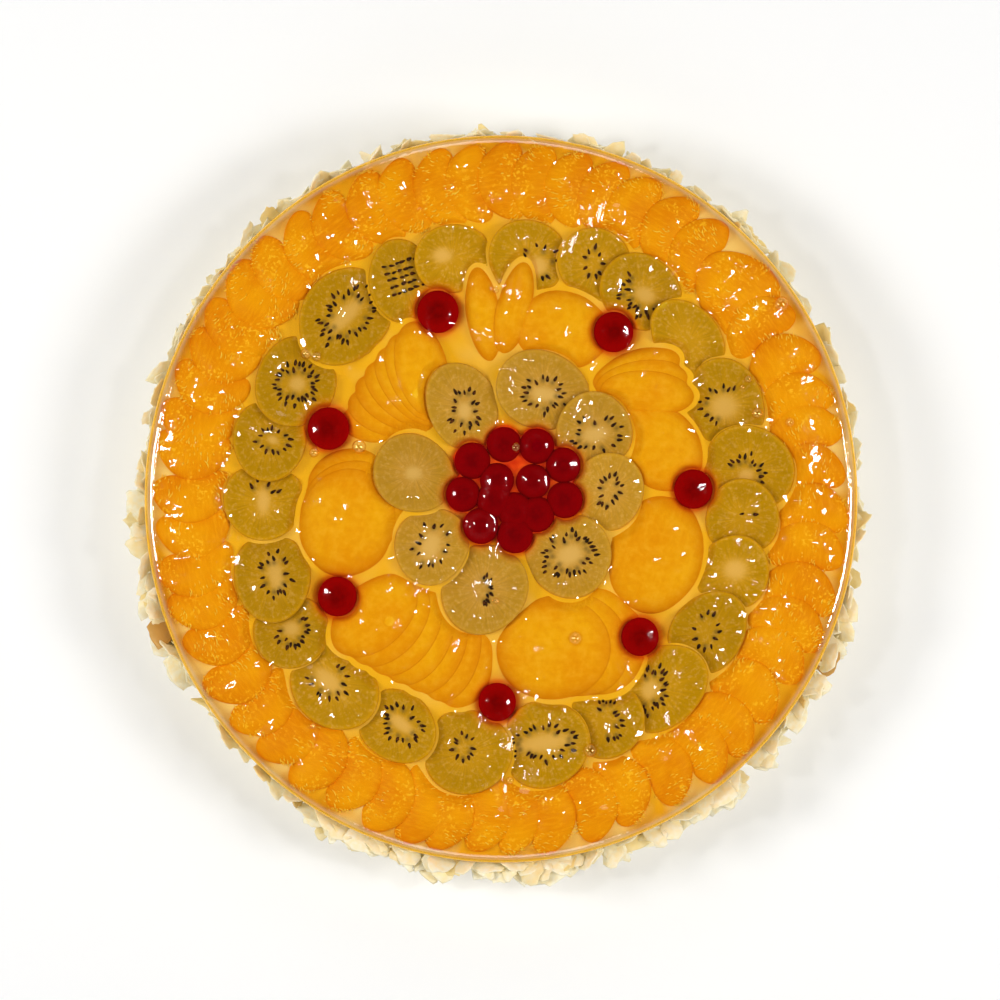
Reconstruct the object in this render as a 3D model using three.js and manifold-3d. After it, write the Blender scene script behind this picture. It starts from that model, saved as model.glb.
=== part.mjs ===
// A round fruit tart under clear jelly, seen as it stands: a cream-coated base with flaked almonds
// pressed into its side, a ring of overlapping mandarin segments, a ring of overlapping kiwi slices,
// fans and halves of peach with a halved cherry between each two, a small ring of kiwi slices, and a
// cluster of cherries in the middle.
// Millimetres, +Z up, +Y towards the top of the pattern. The origin is the middle of the underside, with
// the flakes that stand out counted in.
import * as THREE from "three";
import { mergeVertices } from "three/addons/utils/BufferGeometryUtils.js";
import Module from "manifold-3d";

const wasm = await Module();
wasm.setup();

// Driving dimensions
const TART_RADIUS = 140; // the jelly's edge
const OUT_OF_ROUND = 0.01; // the ring mould was this much longer along Y and shorter along X
const CREAM_TOP = 40; // height of the cream under the fruit
const CREAM_INSET = 1; // the cream's side stands in from the jelly's edge by this
const GAP = 0.35; // between two pieces that touch
const JELLY_RIM = 9.2; // height of the jelly's side above the cream
const JELLY_WALL = 2.2; // jelly outside the mandarins
const FRUIT_FLOOR = CREAM_TOP + GAP; // what the fruit lies on

const ROUND_STEPS = 48; // sides of the tart's own outline
const SLICE_STEPS = 12; // sides of a kiwi slice
const CHERRY_STEPS = 8; // sides of a cherry
const PEACH_STEPS = 10; // sides of a piece of peach
const ABOVE = 0.01; // a point of a unit shape counts as above its middle from here
const SHADOW = 30; // how far a cutting shape reaches up, so that nothing stands on what lies uppermost

// Mandarin segments lie flat like fallen dominoes, each thick curved side on the next one's thin edge.
// Each run is one piece: the directions that its round sides reach from and to, anticlockwise from +X,
// how many segments it holds, and how much more than its share of the run the first one shows.
const MANDARIN_RUNS = [
  { from: 2.5, to: 38.2, count: 5, first: 1 },
  { from: 38.2, to: 69.9, count: 4, first: 1.7 },
  { from: 69.9, to: 106.4, count: 6, first: 1 },
  { from: 106.4, to: 138.8, count: 5, first: 1 },
  { from: 138.8, to: 177, count: 6, first: 1.2 },
  { from: 177, to: 211, count: 5, first: 1 },
  { from: 211, to: 247.2, count: 5, first: 1 },
  { from: 247.2, to: 283.9, count: 6, first: 1 },
  { from: 283.9, to: 320.9, count: 5, first: 1 },
  { from: 320.9, to: 362.5, count: 6, first: 1.1 },
];
const MANDARIN = {
  long: 30.5, // along the tart's radius
  wide: 20.4,
  thick: 9, // at its round side
  thin: 4, // at its inner edge
  bend: 4.4, // how far the tips stand back from the round side's middle
  tilt: 5, // degrees
  bed: 0.42, // share of its thickness that lies below its own middle
  ring: 121.2, // distance of its middle from the tart's
  lead: 0.6, // the round side stands this far past its direction
};

// Kiwi slices overlap round a ring, each on the next one anticlockwise. Their surface climbs with the
// direction, so that every slice clears its neighbours at any distance from the middle.
const KIWI_THICK = 2.4;
const OUTER_KIWI = { rise: 0.257, most: 12.8, middle: 4.6 }; // mm a degree, degrees, mm above the floor
const INNER_KIWI = { rise: 0.097, most: 23, middle: 4.7 };
// direction, distance of its middle, half size along the ring, half size across it
const OUTER_KIWIS = [
  [6.5, 97.7, 17.3, 18.2],
  [22.5, 95.3, 17.9, 15.5],
  [39.5, 95.3, 17.8, 13],
  [55.3, 96.7, 16.8, 14.6],
  [67.5, 97.5, 15.3, 14.1],
  [83.5, 93.4, 16.2, 14.5],
  [101.6, 94.6, 15.1, 13.4],
  [114.5, 91.5, 14, 16.7],
  [130.8, 93.2, 20.8, 16.9],
  [150.8, 92.4, 17.5, 16],
  [166, 93.8, 15.8, 14.5],
  [180.5, 93.2, 14.6, 16.5],
  [198.5, 94.8, 17.2, 15.3],
  [211.5, 96.9, 15, 14.7],
  [227.2, 96.7, 19.2, 16.5],
  [245, 96.5, 15.8, 14],
  [262.2, 98.3, 18, 16.1],
  [280.3, 95.9, 17.6, 16.9],
  [296, 94.2, 15, 15.5],
  [310.5, 95.9, 20, 15.7],
  [327.5, 96.1, 17.8, 14],
  [342.5, 95.3, 15, 14.3],
  [355.5, 95, 14.8, 14.9],
];
const INNER_KIWIS = [
  [3.9, 42.6, 14.9, 13.8],
  [35.1, 44.5, 15, 15.8],
  [68.7, 44.9, 18.6, 15.5],
  [113.1, 39, 14.2, 16.9],
  [163.9, 35.7, 14.9, 16.5],
  [213.4, 32.7, 14.9, 14.9],
  [258.9, 35.3, 17.2, 17.6],
  [320.7, 34.3, 16, 17.4],
];

// Halved cherries between the peaches: direction, distance, radius
const CHERRIES = [
  [2.9, 75.7, 7.6],
  [55.5, 78.1, 7.8],
  [109, 76.3, 8.2],
  [158.2, 73.1, 8.2],
  [210.3, 74.5, 7.7],
  [268.9, 78.3, 7.4],
  [315.8, 76.2, 7.4],
];
const CHERRY_TOP = 8.9; // above the floor
const CHERRY_SUNK = 1.6; // its widest part lies this much above the floor

// The middle cluster: where each cherry lies, nine in a ring round the rest
const CLUSTER_RADIUS = 7;
const CLUSTER = [
  [1.2, 20.9],
  [14, 20.3],
  [24.4, 13],
  [25, -0.3],
  [14, -5.8],
  [5.4, -13.8],
  [-7.9, -10.3],
  [-14.9, 1.8],
  [-11.2, 14.7],
  [-1.6, 7.2],
  [12.6, 6.7],
  [-2.7, -0.4],
  [5.4, -4.3],
];

// Peach: halves and fans of slices. The first slice lies on top, and each next one is moved by stepX
// and stepY, turned by spread and sunk a little. long and wide are half sizes.
const PEACH_HIGH = 7.6;
const PEACH_SINK = 0.55;
const PEACHES = [
  { x: 5.2, y: 73.5, turn: 77, long: 19, wide: 7.2, count: 2, stepX: -12, stepY: -2, spread: 22 },
  { x: 57.5, y: 40.5, turn: -4, long: 19.2, wide: 9, count: 2, stepX: -4.4, stepY: 8, spread: 24 },
  { x: 61, y: 20.6, turn: -38, long: 20.6, wide: 16.4, count: 1, stepX: 0, stepY: 0, spread: 0 },
  { x: 23.4, y: 65, turn: -6, long: 19.4, wide: 16, count: 1, stepX: 0, stepY: 0, spread: 0 },
  { x: -31, y: 50, turn: 105, long: 19.5, wide: 10.5, count: 4, stepX: -4.2, stepY: -6.4, spread: 26 },
  { x: -60.5, y: -9, turn: 70, long: 21.5, wide: 19.5, count: 2, stepX: 4, stepY: 9, spread: -95 },
  { x: -50, y: -45, turn: 40, long: 20.5, wide: 13, count: 4, stepX: 11.6, stepY: -5.6, spread: 14 },
  { x: 20.6, y: -57.6, turn: 5, long: 23, wide: 20.6, count: 2, stepX: 15.6, stepY: 3, spread: -60 },
  { x: 60.6, y: -21.4, turn: 74, long: 23.4, wide: 19.6, count: 1, stepX: 0, stepY: 0, spread: 0 },
];

// Flaked almonds on the side, in rows from the bottom up
const FLAKE = { long: 17, wide: 11, thick: 1.1, smallest: 0.78, largest: 1.12, blunt: 0.3 };
const FLAKE_LIE = { spin: 2.6, turn: 1.1, lean: 0.75, upright: 0.25 }; // how freely they lie, in radians
const FLAKE_PROUD = { least: 0.2, most: 1.1 }; // mm from the cream to a flake's middle
const FLAKE_SIDES = 4;
const FLAKE_ROWS = [8, 19.5, 31]; // heights
const FLAKE_STRAY = 1.5; // mm up or down from its row
const FLAKES_IN_ROW = 30;
const FLAKE_SEED = 11;
const FLAKE_LIFT = 0.4; // a flake keeps this clear of what the tart stands on

const radians = THREE.MathUtils.degToRad;

// A steady unevenness from -1 to 1 for the numbered piece, so that no two pieces are quite alike.
function uneven(number, kind) {
  const s = Math.sin(number * 12.9898 + kind * 78.233) * 43758.5453;
  return 2 * (s - Math.floor(s)) - 1;
}

// A seeded draw of numbers from 0 to 1.
function drawer(seed) {
  let state = seed;
  return () => {
    state = (state * 1664525 + 1013904223) % 4294967296;
    return state / 4294967296;
  };
}

function solidOf(geometry) {
  const bare = new THREE.BufferGeometry();
  bare.setAttribute("position", geometry.getAttribute("position").clone());
  if (geometry.index) bare.setIndex(geometry.index.clone());
  const merged = mergeVertices(bare, 1e-4);
  return new wasm.Manifold(
    new wasm.Mesh({
      numProp: 3,
      vertProperties: new Float32Array(merged.attributes.position.array),
      triVerts: new Uint32Array(merged.index.array),
    }),
  );
}

function geometryOf(solid) {
  const mesh = solid.getMesh();
  const geometry = new THREE.BufferGeometry();
  geometry.setAttribute("position", new THREE.BufferAttribute(mesh.vertProperties, 3));
  geometry.setIndex(new THREE.BufferAttribute(mesh.triVerts, 1));
  geometry.computeVertexNormals();
  return geometry;
}

// Moves every vertex of a geometry by a function that changes the point it is given.
function reshape(geometry, change) {
  const position = geometry.getAttribute("position");
  const point = new THREE.Vector3();
  for (let i = 0; i < position.count; i += 1) {
    point.fromBufferAttribute(position, i);
    change(point);
    position.setXYZ(i, point.x, point.y, point.z);
  }
  return geometry;
}

function union(solids) {
  return solids.reduce((all, one) => all.add(one));
}

// The largest body of a solid, without the scraps that a cut leaves.
function mainBody(solid) {
  return solid.decompose().reduce((most, body) => (body.volume() > most.volume() ? body : most));
}

// Whether two solids' boxes meet in plan, so that one may cut the other.
function near(a, b) {
  const p = a.boundingBox();
  const q = b.boundingBox();
  return [0, 1].every((k) => p.min[k] < q.max[k] && q.min[k] < p.max[k]);
}

function cutBy(solid, cutters) {
  const close = cutters.filter((cutter) => near(solid, cutter));
  return mainBody(close.reduce((rest, cutter) => rest.subtract(cutter), solid));
}

// A turned shape from a profile of [radius, height] pairs that starts and ends on the axis.
function turned(profile, steps) {
  const points = profile.map(([x, y]) => new THREE.Vector2(x, y));
  return new THREE.LatheGeometry(points, steps).rotateX(Math.PI / 2);
}

function creamBody() {
  const side = TART_RADIUS - CREAM_INSET;
  return solidOf(
    turned(
      [
        [0, 0],
        [side - 1.5, 0],
        [side, 1.5],
        [side, CREAM_TOP - 1],
        [side - 1, CREAM_TOP],
        [0, CREAM_TOP],
      ],
      ROUND_STEPS,
    ),
  );
}

// The jelly outside the fruit, rounded at its top edge.
function jellyRim(grow = 0) {
  const base = CREAM_TOP + GAP - grow;
  const top = CREAM_TOP + JELLY_RIM;
  const inside = TART_RADIUS - JELLY_WALL - grow;
  return solidOf(
    turned(
      [
        [inside, base],
        [TART_RADIUS, base],
        [TART_RADIUS, top - 1.6],
        [TART_RADIUS - 1, top],
        [inside, top],
        [inside, base],
      ],
      ROUND_STEPS,
    ),
  );
}

// The room that the jelly's wall takes, which flakes of almond stay out of.
function jellyRoom() {
  const base = CREAM_TOP;
  const top = CREAM_TOP + SHADOW;
  const outside = TART_RADIUS + GAP;
  return solidOf(turned([[0, base], [outside, base], [outside, top], [0, top]], ROUND_STEPS));
}

// One flake: a thin pointed oval, lying in the XZ plane with its face along Y.
function almondFlake(long, wide, point) {
  const outline = new THREE.Shape(
    Array.from({ length: FLAKE_SIDES }, (_, k) => {
      const a = (k * 2 * Math.PI) / FLAKE_SIDES;
      const narrow = 1 - point * Math.cos(a);
      return new THREE.Vector2((long / 2) * Math.cos(a), (wide / 2) * Math.sin(a) * narrow);
    }),
  );
  const flake = new THREE.ExtrudeGeometry(outline, { depth: FLAKE.thick, bevelEnabled: false });
  return flake.translate(0, 0, -FLAKE.thick / 2).rotateX(Math.PI / 2);
}

// Flakes stuck to the side at every angle, each with one part of it in the cream.
function almondFlakes() {
  const draw = drawer(FLAKE_SEED);
  const between = (low, high) => low + (high - low) * draw();
  const flakes = [];
  FLAKE_ROWS.forEach((height, row) => {
    for (let k = 0; k < FLAKES_IN_ROW; k += 1) {
      const direction = ((k + row / 2 + between(-0.25, 0.25)) / FLAKES_IN_ROW) * 2 * Math.PI;
      const size = between(FLAKE.smallest, FLAKE.largest);
      const flake = almondFlake(FLAKE.long * size, FLAKE.wide * size, FLAKE.blunt * draw());
      flake.rotateY((draw() - 0.5) * FLAKE_LIE.spin);
      flake.rotateZ((draw() - 0.5) * FLAKE_LIE.turn);
      flake.rotateX((draw() - FLAKE_LIE.upright) * FLAKE_LIE.lean);
      const out = TART_RADIUS - CREAM_INSET + between(FLAKE_PROUD.least, FLAKE_PROUD.most);
      flake.translate(0, -out, height + between(-FLAKE_STRAY, FLAKE_STRAY));
      flake.rotateZ(direction);
      flake.computeBoundingBox();
      const below = Math.min(0, flake.boundingBox.min.z - FLAKE_LIFT);
      flakes.push(solidOf(flake.translate(0, 0, -below)));
    }
  });
  return flakes;
}

// A mandarin segment: a half moon with a thick round side and a thin inner edge. Its length lies
// along the tart's radius, and its round side looks anticlockwise and leans on the next segment.
function mandarinSegment(number, reach, share, grow = 0, lift = 0) {
  const long = MANDARIN.long * (1 + 0.04 * uneven(number, 1)) + 2 * grow;
  const wide = MANDARIN.wide * share + 2 * grow;
  const thick = MANDARIN.thick * (1 + 0.05 * uneven(number, 3));
  const round = MANDARIN.lead - MANDARIN.wide * share * 0.5;
  const moon = new THREE.SphereGeometry(1, 6, 4).rotateZ(Math.PI / 2);
  reshape(moon, (p) => {
    const outer = (p.y + 1) / 2;
    const deep = MANDARIN.thin + (thick - MANDARIN.thin) * Math.sin((outer * Math.PI) / 1.7) + 2 * grow;
    p.set((p.x * long) / 2, (p.y * wide) / 2 - MANDARIN.bend * p.x * p.x, (p.z * deep) / 2);
  });
  moon.rotateX(radians(MANDARIN.tilt)).rotateZ(radians(4 * uneven(number, 4)));
  moon.translate(MANDARIN.ring + 0.9 * uneven(number, 5), round, FRUIT_FLOOR + thick * MANDARIN.bed);
  moon.rotateZ(radians(reach));
  return solidOf(
    reshape(moon, (p) => {
      p.z = Math.max(p.z, FRUIT_FLOOR - grow);
      if (p.z > FRUIT_FLOOR + thick * MANDARIN.bed) p.z += lift;
    }),
  );
}

// The segments of a run, from the first to the last anticlockwise.
function mandarinsOf(run, first, grow, lift) {
  const pitch = (run.to - run.from) / (run.count - 1 + run.first);
  return Array.from({ length: run.count }, (_, k) => {
    const number = first + k;
    const reach = run.from + pitch * (k + run.first + 0.1 * uneven(number, 6));
    return mandarinSegment(number, reach, k === 0 ? run.first : 1, grow, lift);
  });
}

// How far out of round a kiwi slice is in a direction round its own middle.
function kiwiOutline(a, number) {
  const oval = 0.025 * Math.cos(2 * a + 3 * uneven(number, 7));
  const corners = 0.02 * Math.cos(3 * a + 3 * uneven(number, 8));
  return 1 + oval + corners;
}

// A kiwi slice, its surface climbing with the direction.
function kiwiSlice([direction, distance, along, across], ring, number, grow = 0, lift = 0) {
  const half = KIWI_THICK / 2 + grow;
  const disc = turned([[0, -half], [1, -half], [0.97, half], [0, half]], SLICE_STEPS);
  reshape(disc, (p) => {
    const outline = kiwiOutline(Math.atan2(p.y, p.x), number);
    p.set(p.x * (across + grow) * outline, p.y * (along + grow) * outline, p.z);
  });
  disc.translate(distance, 0, 0);
  reshape(disc, (p) => {
    const turn = THREE.MathUtils.radToDeg(Math.atan2(p.y, p.x));
    const climb = ring.rise * THREE.MathUtils.clamp(turn, -ring.most, ring.most);
    p.z += FRUIT_FLOOR + ring.middle + climb + (p.z > ABOVE ? lift : 0);
  });
  return solidOf(disc.rotateZ(radians(direction)));
}

// A round fruit lying on the floor, flat where it rests and widest a little above that.
function dome(x, y, radius, top, grow = 0, lift = 0) {
  const foot = -CHERRY_SUNK / (top - CHERRY_SUNK);
  const profile = [[0, foot], [0.9, foot], [1, 0], [0.86, 0.52], [0.5, 0.88], [0, 1]];
  const high = top - CHERRY_SUNK + grow;
  const ball = reshape(turned(profile, CHERRY_STEPS), (p) => {
    const z = p.z > ABOVE ? p.z * high + lift : p.z * high - grow;
    p.set(p.x * (radius + grow), p.y * (radius + grow), FRUIT_FLOOR + CHERRY_SUNK + z);
  });
  return solidOf(ball.translate(x, y, 0));
}

function cherry([direction, distance, radius], grow, lift) {
  const a = radians(direction);
  return dome(distance * Math.cos(a), distance * Math.sin(a), radius, CHERRY_TOP, grow, lift);
}

function cherryCluster(grow, lift) {
  return union(
    CLUSTER.map(([x, y], k) => {
      const radius = CLUSTER_RADIUS * (1 + 0.03 * uneven(k, 3));
      return dome(x, y, radius, CHERRY_TOP + 0.5 * uneven(k, 4), grow, lift);
    }),
  );
}

// One slice of peach, with a rounded back and flat underneath.
function peachSlice(x, y, turn, long, wide, high, grow, lift) {
  const profile = [[0, 0], [1, 0], [0.95, 0.45], [0.62, 0.86], [0, 1]];
  const back = reshape(turned(profile, PEACH_STEPS), (p) => {
    const z = p.z > ABOVE ? p.z * (high + grow) + lift : -grow;
    p.set(p.x * (long + grow), p.y * (wide + grow), z);
  });
  return solidOf(back.rotateZ(radians(turn)).translate(x, y, FRUIT_FLOOR));
}

function peach(fan, grow = 0, lift = 0) {
  return union(
    Array.from({ length: fan.count }, (_, k) =>
      peachSlice(
        fan.x + k * fan.stepX,
        fan.y + k * fan.stepY,
        fan.turn + k * fan.spread,
        fan.long,
        fan.wide,
        PEACH_HIGH - k * PEACH_SINK,
        grow,
        lift,
      ),
    ),
  );
}

function finish(color, roughness, opacity = 1) {
  return new THREE.MeshStandardMaterial({ color, roughness, metalness: 0, opacity, transparent: opacity < 1 });
}

const MATERIALS = {
  cream: finish("#f2dfae", 0.7),
  jelly: finish("#f0b43c", 0.1, 0.5),
  mandarin: finish("#f39a0b", 0.35),
  kiwi: finish("#b39a2e", 0.35),
  peach: finish("#f0a818", 0.35),
  cherry: finish("#a40008", 0.25),
};

const tart = new THREE.Group();
tart.scale.set(1 - OUT_OF_ROUND, 1 + OUT_OF_ROUND, 1);

// Adds a solid as a mesh placed at the middle of its own box.
function addPiece(name, solid, material) {
  const geometry = geometryOf(solid);
  geometry.computeBoundingBox();
  const place = geometry.boundingBox.getCenter(new THREE.Vector3());
  const mesh = new THREE.Mesh(geometry.translate(-place.x, -place.y, -place.z), material);
  mesh.position.copy(place);
  mesh.name = name;
  tart.add(mesh);
}

const twoDigits = (k) => String(k + 1).padStart(2, "0");

const cream = mainBody(union([creamBody(), ...almondFlakes()]).subtract(jellyRoom()));
addPiece("cream_and_almonds", cream, MATERIALS.cream);
addPiece("jelly_rim", jellyRim(), MATERIALS.jelly);

// The fruit goes on from the uppermost down. Each piece that is down leaves its shape as a cutter, so
// that what lies under it keeps clear of it.
const cutters = [];
CHERRIES.forEach((one, k) => {
  addPiece(`cherry_${k + 1}`, cherry(one, 0, 0), MATERIALS.cherry);
  cutters.push(cherry(one, GAP, SHADOW));
});
addPiece("cherry_cluster", cherryCluster(0, 0), MATERIALS.cherry);
cutters.push(cherryCluster(GAP, SHADOW));

INNER_KIWIS.forEach((one, k) => {
  addPiece(`kiwi_inner_${k + 1}`, cutBy(kiwiSlice(one, INNER_KIWI, k), cutters), MATERIALS.kiwi);
  cutters.push(kiwiSlice(one, INNER_KIWI, k, GAP, SHADOW));
});

PEACHES.forEach((fan, k) => {
  addPiece(`peach_${k + 1}`, cutBy(peach(fan), cutters), MATERIALS.peach);
  cutters.push(peach(fan, GAP, SHADOW));
});

const outerCutters = OUTER_KIWIS.map((one, k) => {
  const number = k + INNER_KIWIS.length;
  addPiece(`kiwi_outer_${twoDigits(k)}`, cutBy(kiwiSlice(one, OUTER_KIWI, number), cutters), MATERIALS.kiwi);
  return kiwiSlice(one, OUTER_KIWI, number, GAP, SHADOW);
});
cutters.push(...outerCutters);

// Each run of mandarins also keeps clear of the last two segments of the run before it.
const mandarinTotal = MANDARIN_RUNS.reduce((sum, run) => sum + run.count, 0);
let laid = 0;
MANDARIN_RUNS.forEach((run, k) => {
  const before = MANDARIN_RUNS.at(k - 1);
  const firstBefore = (laid - before.count + mandarinTotal) % mandarinTotal;
  const above = [0, SHADOW].flatMap((lift) => mandarinsOf(before, firstBefore, GAP, lift).slice(-2));
  const solid = union(mandarinsOf(run, laid, 0, 0));
  const clear = [...cutters, ...above, jellyRim(GAP)];
  addPiece(`mandarins_${twoDigits(k)}`, cutBy(solid, clear), MATERIALS.mandarin);
  laid += run.count;
});

// The flakes stand out unevenly, so the tart moves a little to lie over the origin.
tart.updateMatrixWorld(true);
const middle = new THREE.Box3().setFromObject(tart).getCenter(new THREE.Vector3());
tart.position.set(-middle.x, -middle.y, 0);

export default tart;
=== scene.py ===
"""A round fruit torte under clear jelly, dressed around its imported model.

The fruit is worked out in the torte's own millimetres, from its axis, and turned to metres at the end.
Where two pieces of fruit lie on each other, the upper one keeps its shape and the lower one gives way.
"""

import math

import bmesh
import bpy
import numpy as np
from mathutils import Matrix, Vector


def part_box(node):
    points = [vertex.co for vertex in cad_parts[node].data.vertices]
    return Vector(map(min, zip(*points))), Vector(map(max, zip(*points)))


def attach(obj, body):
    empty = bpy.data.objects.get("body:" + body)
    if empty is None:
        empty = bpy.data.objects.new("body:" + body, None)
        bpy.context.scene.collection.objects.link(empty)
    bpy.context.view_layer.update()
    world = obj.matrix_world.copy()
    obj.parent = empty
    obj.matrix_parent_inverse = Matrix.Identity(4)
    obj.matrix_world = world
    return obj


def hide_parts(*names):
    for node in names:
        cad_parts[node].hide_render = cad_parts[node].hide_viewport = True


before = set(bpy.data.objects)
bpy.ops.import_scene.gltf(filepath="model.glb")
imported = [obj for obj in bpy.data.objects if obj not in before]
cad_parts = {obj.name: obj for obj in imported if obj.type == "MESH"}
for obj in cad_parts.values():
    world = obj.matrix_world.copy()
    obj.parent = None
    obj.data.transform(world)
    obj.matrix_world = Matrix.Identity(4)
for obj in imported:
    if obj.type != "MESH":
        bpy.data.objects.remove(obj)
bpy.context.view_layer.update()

MM = 0.001
OUT_OF_ROUND = 0.01  # the ring mould was this much longer along Y and shorter along X
JELLY_RING_LOW, JELLY_RING_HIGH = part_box("jelly_rim")
AXIS = np.array(((JELLY_RING_LOW + JELLY_RING_HIGH) / 2).to_2d().to_3d()) / MM
TORTE_RADIUS = (JELLY_RING_HIGH.x - JELLY_RING_LOW.x) / MM / 2 / (1 - OUT_OF_ROUND)
FRUIT_FLOOR = JELLY_RING_LOW.z / MM  # what the fruit lies on
JELLY_TOP = JELLY_RING_HIGH.z / MM
CREAM_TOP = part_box("cream_and_almonds")[1].z / MM
CREAM_INSET = 1.0  # the cream's side stands in from the jelly's edge by this

# Mandarin segments lie flat like fallen dominoes, each thick round side on the next one's thin edge.
# Each run is one piece: where its round sides reach from and to, anticlockwise from +X in degrees,
# how many segments it holds, and how much more than its share of the run the first one shows.
MANDARIN_RUNS = [
    (2.5, 38.2, 5, 1.0),
    (38.2, 69.9, 4, 1.7),
    (69.9, 106.4, 6, 1.0),
    (106.4, 138.8, 5, 1.0),
    (138.8, 177.0, 6, 1.2),
    (177.0, 211.0, 5, 1.0),
    (211.0, 247.2, 5, 1.0),
    (247.2, 283.9, 6, 1.0),
    (283.9, 320.9, 5, 1.0),
    (320.9, 362.5, 6, 1.1),
]
MANDARIN_LONG, MANDARIN_WIDE = 30.5, 20.4
MANDARIN_THICK, MANDARIN_THIN = 9.0, 4.0
MANDARIN_BEND = 4.4  # how far the tips stand back from the round side's middle
MANDARIN_TILT = 5.0  # degrees
MANDARIN_BED = 0.42  # share of its thickness that lies below its own middle
MANDARIN_RING = 121.2  # distance of its middle from the torte's
MANDARIN_LEAD = 0.6  # the round side stands this far past its direction

# Kiwi slices overlap round a ring, each on the next one anticlockwise, and climb with the direction.
KIWI_THICK = 2.4
OUTER_KIWI = {"rise": 0.257, "most": 12.8, "middle": 4.6}
INNER_KIWI = {"rise": 0.097, "most": 23.0, "middle": 4.7}
# direction, distance of its middle, half size along the ring, half size across it; then its cut face:
# seeds, half sizes of the ring that they lie on and its turn, half sizes of the pale core, how far both
# lie from the slice's middle along X and Y, and the part of the ring that has seeds, from and over
OUTER_KIWIS = [
    (6.5, 97.7, 17.3, 18.2, 15, 7.6, 7.6, 0, 2.6, 2.3, -0.8, -2.0, -50, 215),
    (22.5, 95.3, 17.9, 15.5, 11, 8.6, 7.6, 0, 5.0, 4.4, -0.5, -1.0, 60, 200),
    (39.5, 95.3, 17.8, 13.0, 0, 6.0, 5.0, 0, 0.0, 0.0, 0.0, 0.0, 0, 360),
    (55.3, 96.7, 16.8, 14.6, 21, 9.6, 8.6, -25, 3.8, 2.6, 1.5, -1.0, 150, 200),
    (67.5, 97.5, 15.3, 14.1, 9, 3.4, 5.4, 0, 0.0, 0.0, -1.0, 1.0, 0, 360),
    (83.5, 93.4, 16.2, 14.5, 13, 9.0, 7.2, 5, 3.4, 3.2, 4.1, -3.2, 20, 300),
    (101.6, 94.6, 15.1, 13.4, 0, 6.0, 5.0, 0, 3.4, 2.6, -4.0, 1.0, 0, 360),
    (114.5, 91.5, 14.0, 16.7, 30, 7.4, 6.0, 18, 0.0, 0.0, 0.0, 2.5, 0, 360),
    (130.8, 93.2, 20.8, 16.9, 36, 12.6, 8.2, 46, 7.6, 2.8, 0.0, 0.0, 0, 360),
    (150.8, 92.4, 17.5, 16.0, 34, 8.2, 7.8, 0, 2.8, 2.7, 0.8, -0.8, 0, 360),
    (166.0, 93.8, 15.8, 14.5, 14, 6.6, 5.4, -20, 1.8, 1.4, 1.5, 0.0, 0, 360),
    (180.5, 93.2, 14.6, 16.5, 5, 6.6, 7.6, 0, 2.4, 4.8, 0.0, 0.0, 20, 140),
    (198.5, 94.8, 17.2, 15.3, 18, 5.6, 9.4, 12, 2.6, 6.0, 1.5, 0.8, 0, 360),
    (211.5, 96.9, 15.0, 14.7, 15, 6.6, 6.6, 0, 3.0, 2.6, 0.3, 0.8, 195, 225),
    (227.2, 96.7, 19.2, 16.5, 12, 8.6, 7.4, -40, 6.0, 3.0, -2.0, 1.0, 220, 260),
    (245.0, 96.5, 15.8, 14.0, 20, 8.6, 6.8, -35, 5.0, 2.2, 1.5, 1.0, 0, 360),
    (262.2, 98.3, 18.0, 16.1, 11, 4.2, 4.8, 0, 0.0, 0.0, -1.5, 2.0, 0, 360),
    (280.3, 95.9, 17.6, 16.9, 29, 13.2, 6.8, 8, 10.4, 3.0, -0.5, 0.5, 0, 360),
    (296.0, 94.2, 15.0, 15.5, 15, 5.4, 7.4, 20, 0.0, 0.0, 0.5, 0.0, -110, 240),
    (310.5, 95.9, 20.0, 15.7, 23, 6.8, 9.6, -20, 2.8, 3.6, -4.0, -0.5, -110, 260),
    (327.5, 96.1, 17.8, 14.0, 11, 4.8, 7.8, 0, 0.0, 0.0, 0.0, 0.0, 0, 360),
    (342.5, 95.3, 15.0, 14.3, 0, 5.0, 5.0, 0, 4.2, 3.6, 1.0, 1.5, 0, 360),
    (355.5, 95.0, 14.8, 14.9, 2, 3.0, 3.0, 0, 0.0, 0.0, 3.0, 2.0, 0, 360),
]
INNER_KIWIS = [
    (3.9, 42.6, 14.9, 13.8, 15, 4.2, 6.4, -20, 0.0, 0.0, 0.0, 0.5, 0, 360),
    (35.1, 44.5, 15.0, 15.8, 18, 10.0, 6.4, 12, 4.6, 2.6, 0.4, -0.8, 0, 360),
    (68.7, 44.9, 18.6, 15.5, 21, 9.4, 6.8, -10, 4.8, 2.4, 0.5, -1.5, 0, 360),
    (113.1, 39.0, 14.2, 16.9, 20, 6.2, 8.2, 0, 2.4, 3.0, 1.0, -2.0, 0, 360),
    (163.9, 35.7, 14.9, 16.5, 0, 6.0, 5.0, 0, 3.0, 2.4, 0.0, 0.0, 0, 360),
    (213.4, 32.7, 14.9, 14.9, 14, 6.8, 8.4, -20, 3.2, 4.8, -0.4, 0.0, 0, 360),
    (258.9, 35.3, 17.2, 17.6, 11, 3.6, 6.2, 0, 0.0, 0.0, -0.5, 0.0, -80, 170),
    (320.7, 34.3, 16.0, 17.4, 31, 10.8, 8.4, 20, 4.6, 3.4, 0.3, 0.2, 0, 360),
]
SEEDS_IN_ROWS = 7  # the outer slice, counted from 0, that was cut lengthwise, with its seeds in rows
KIWI_RINGS, KIWI_STEPS = 26, 84
KIWI_WORN_FROM = 0.955  # a slice's edge is worn round and thin from this share of its reach
SEEDS_WITHIN = 0.93  # share of a slice's reach within which its seeds lie
SEED_STEP = 0.8  # the slice's slope is taken over this length, to lay a seed flat on it
SEED_SHADOW = 1.1  # reach of the grey shadow of a seed that lies deeper
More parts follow.
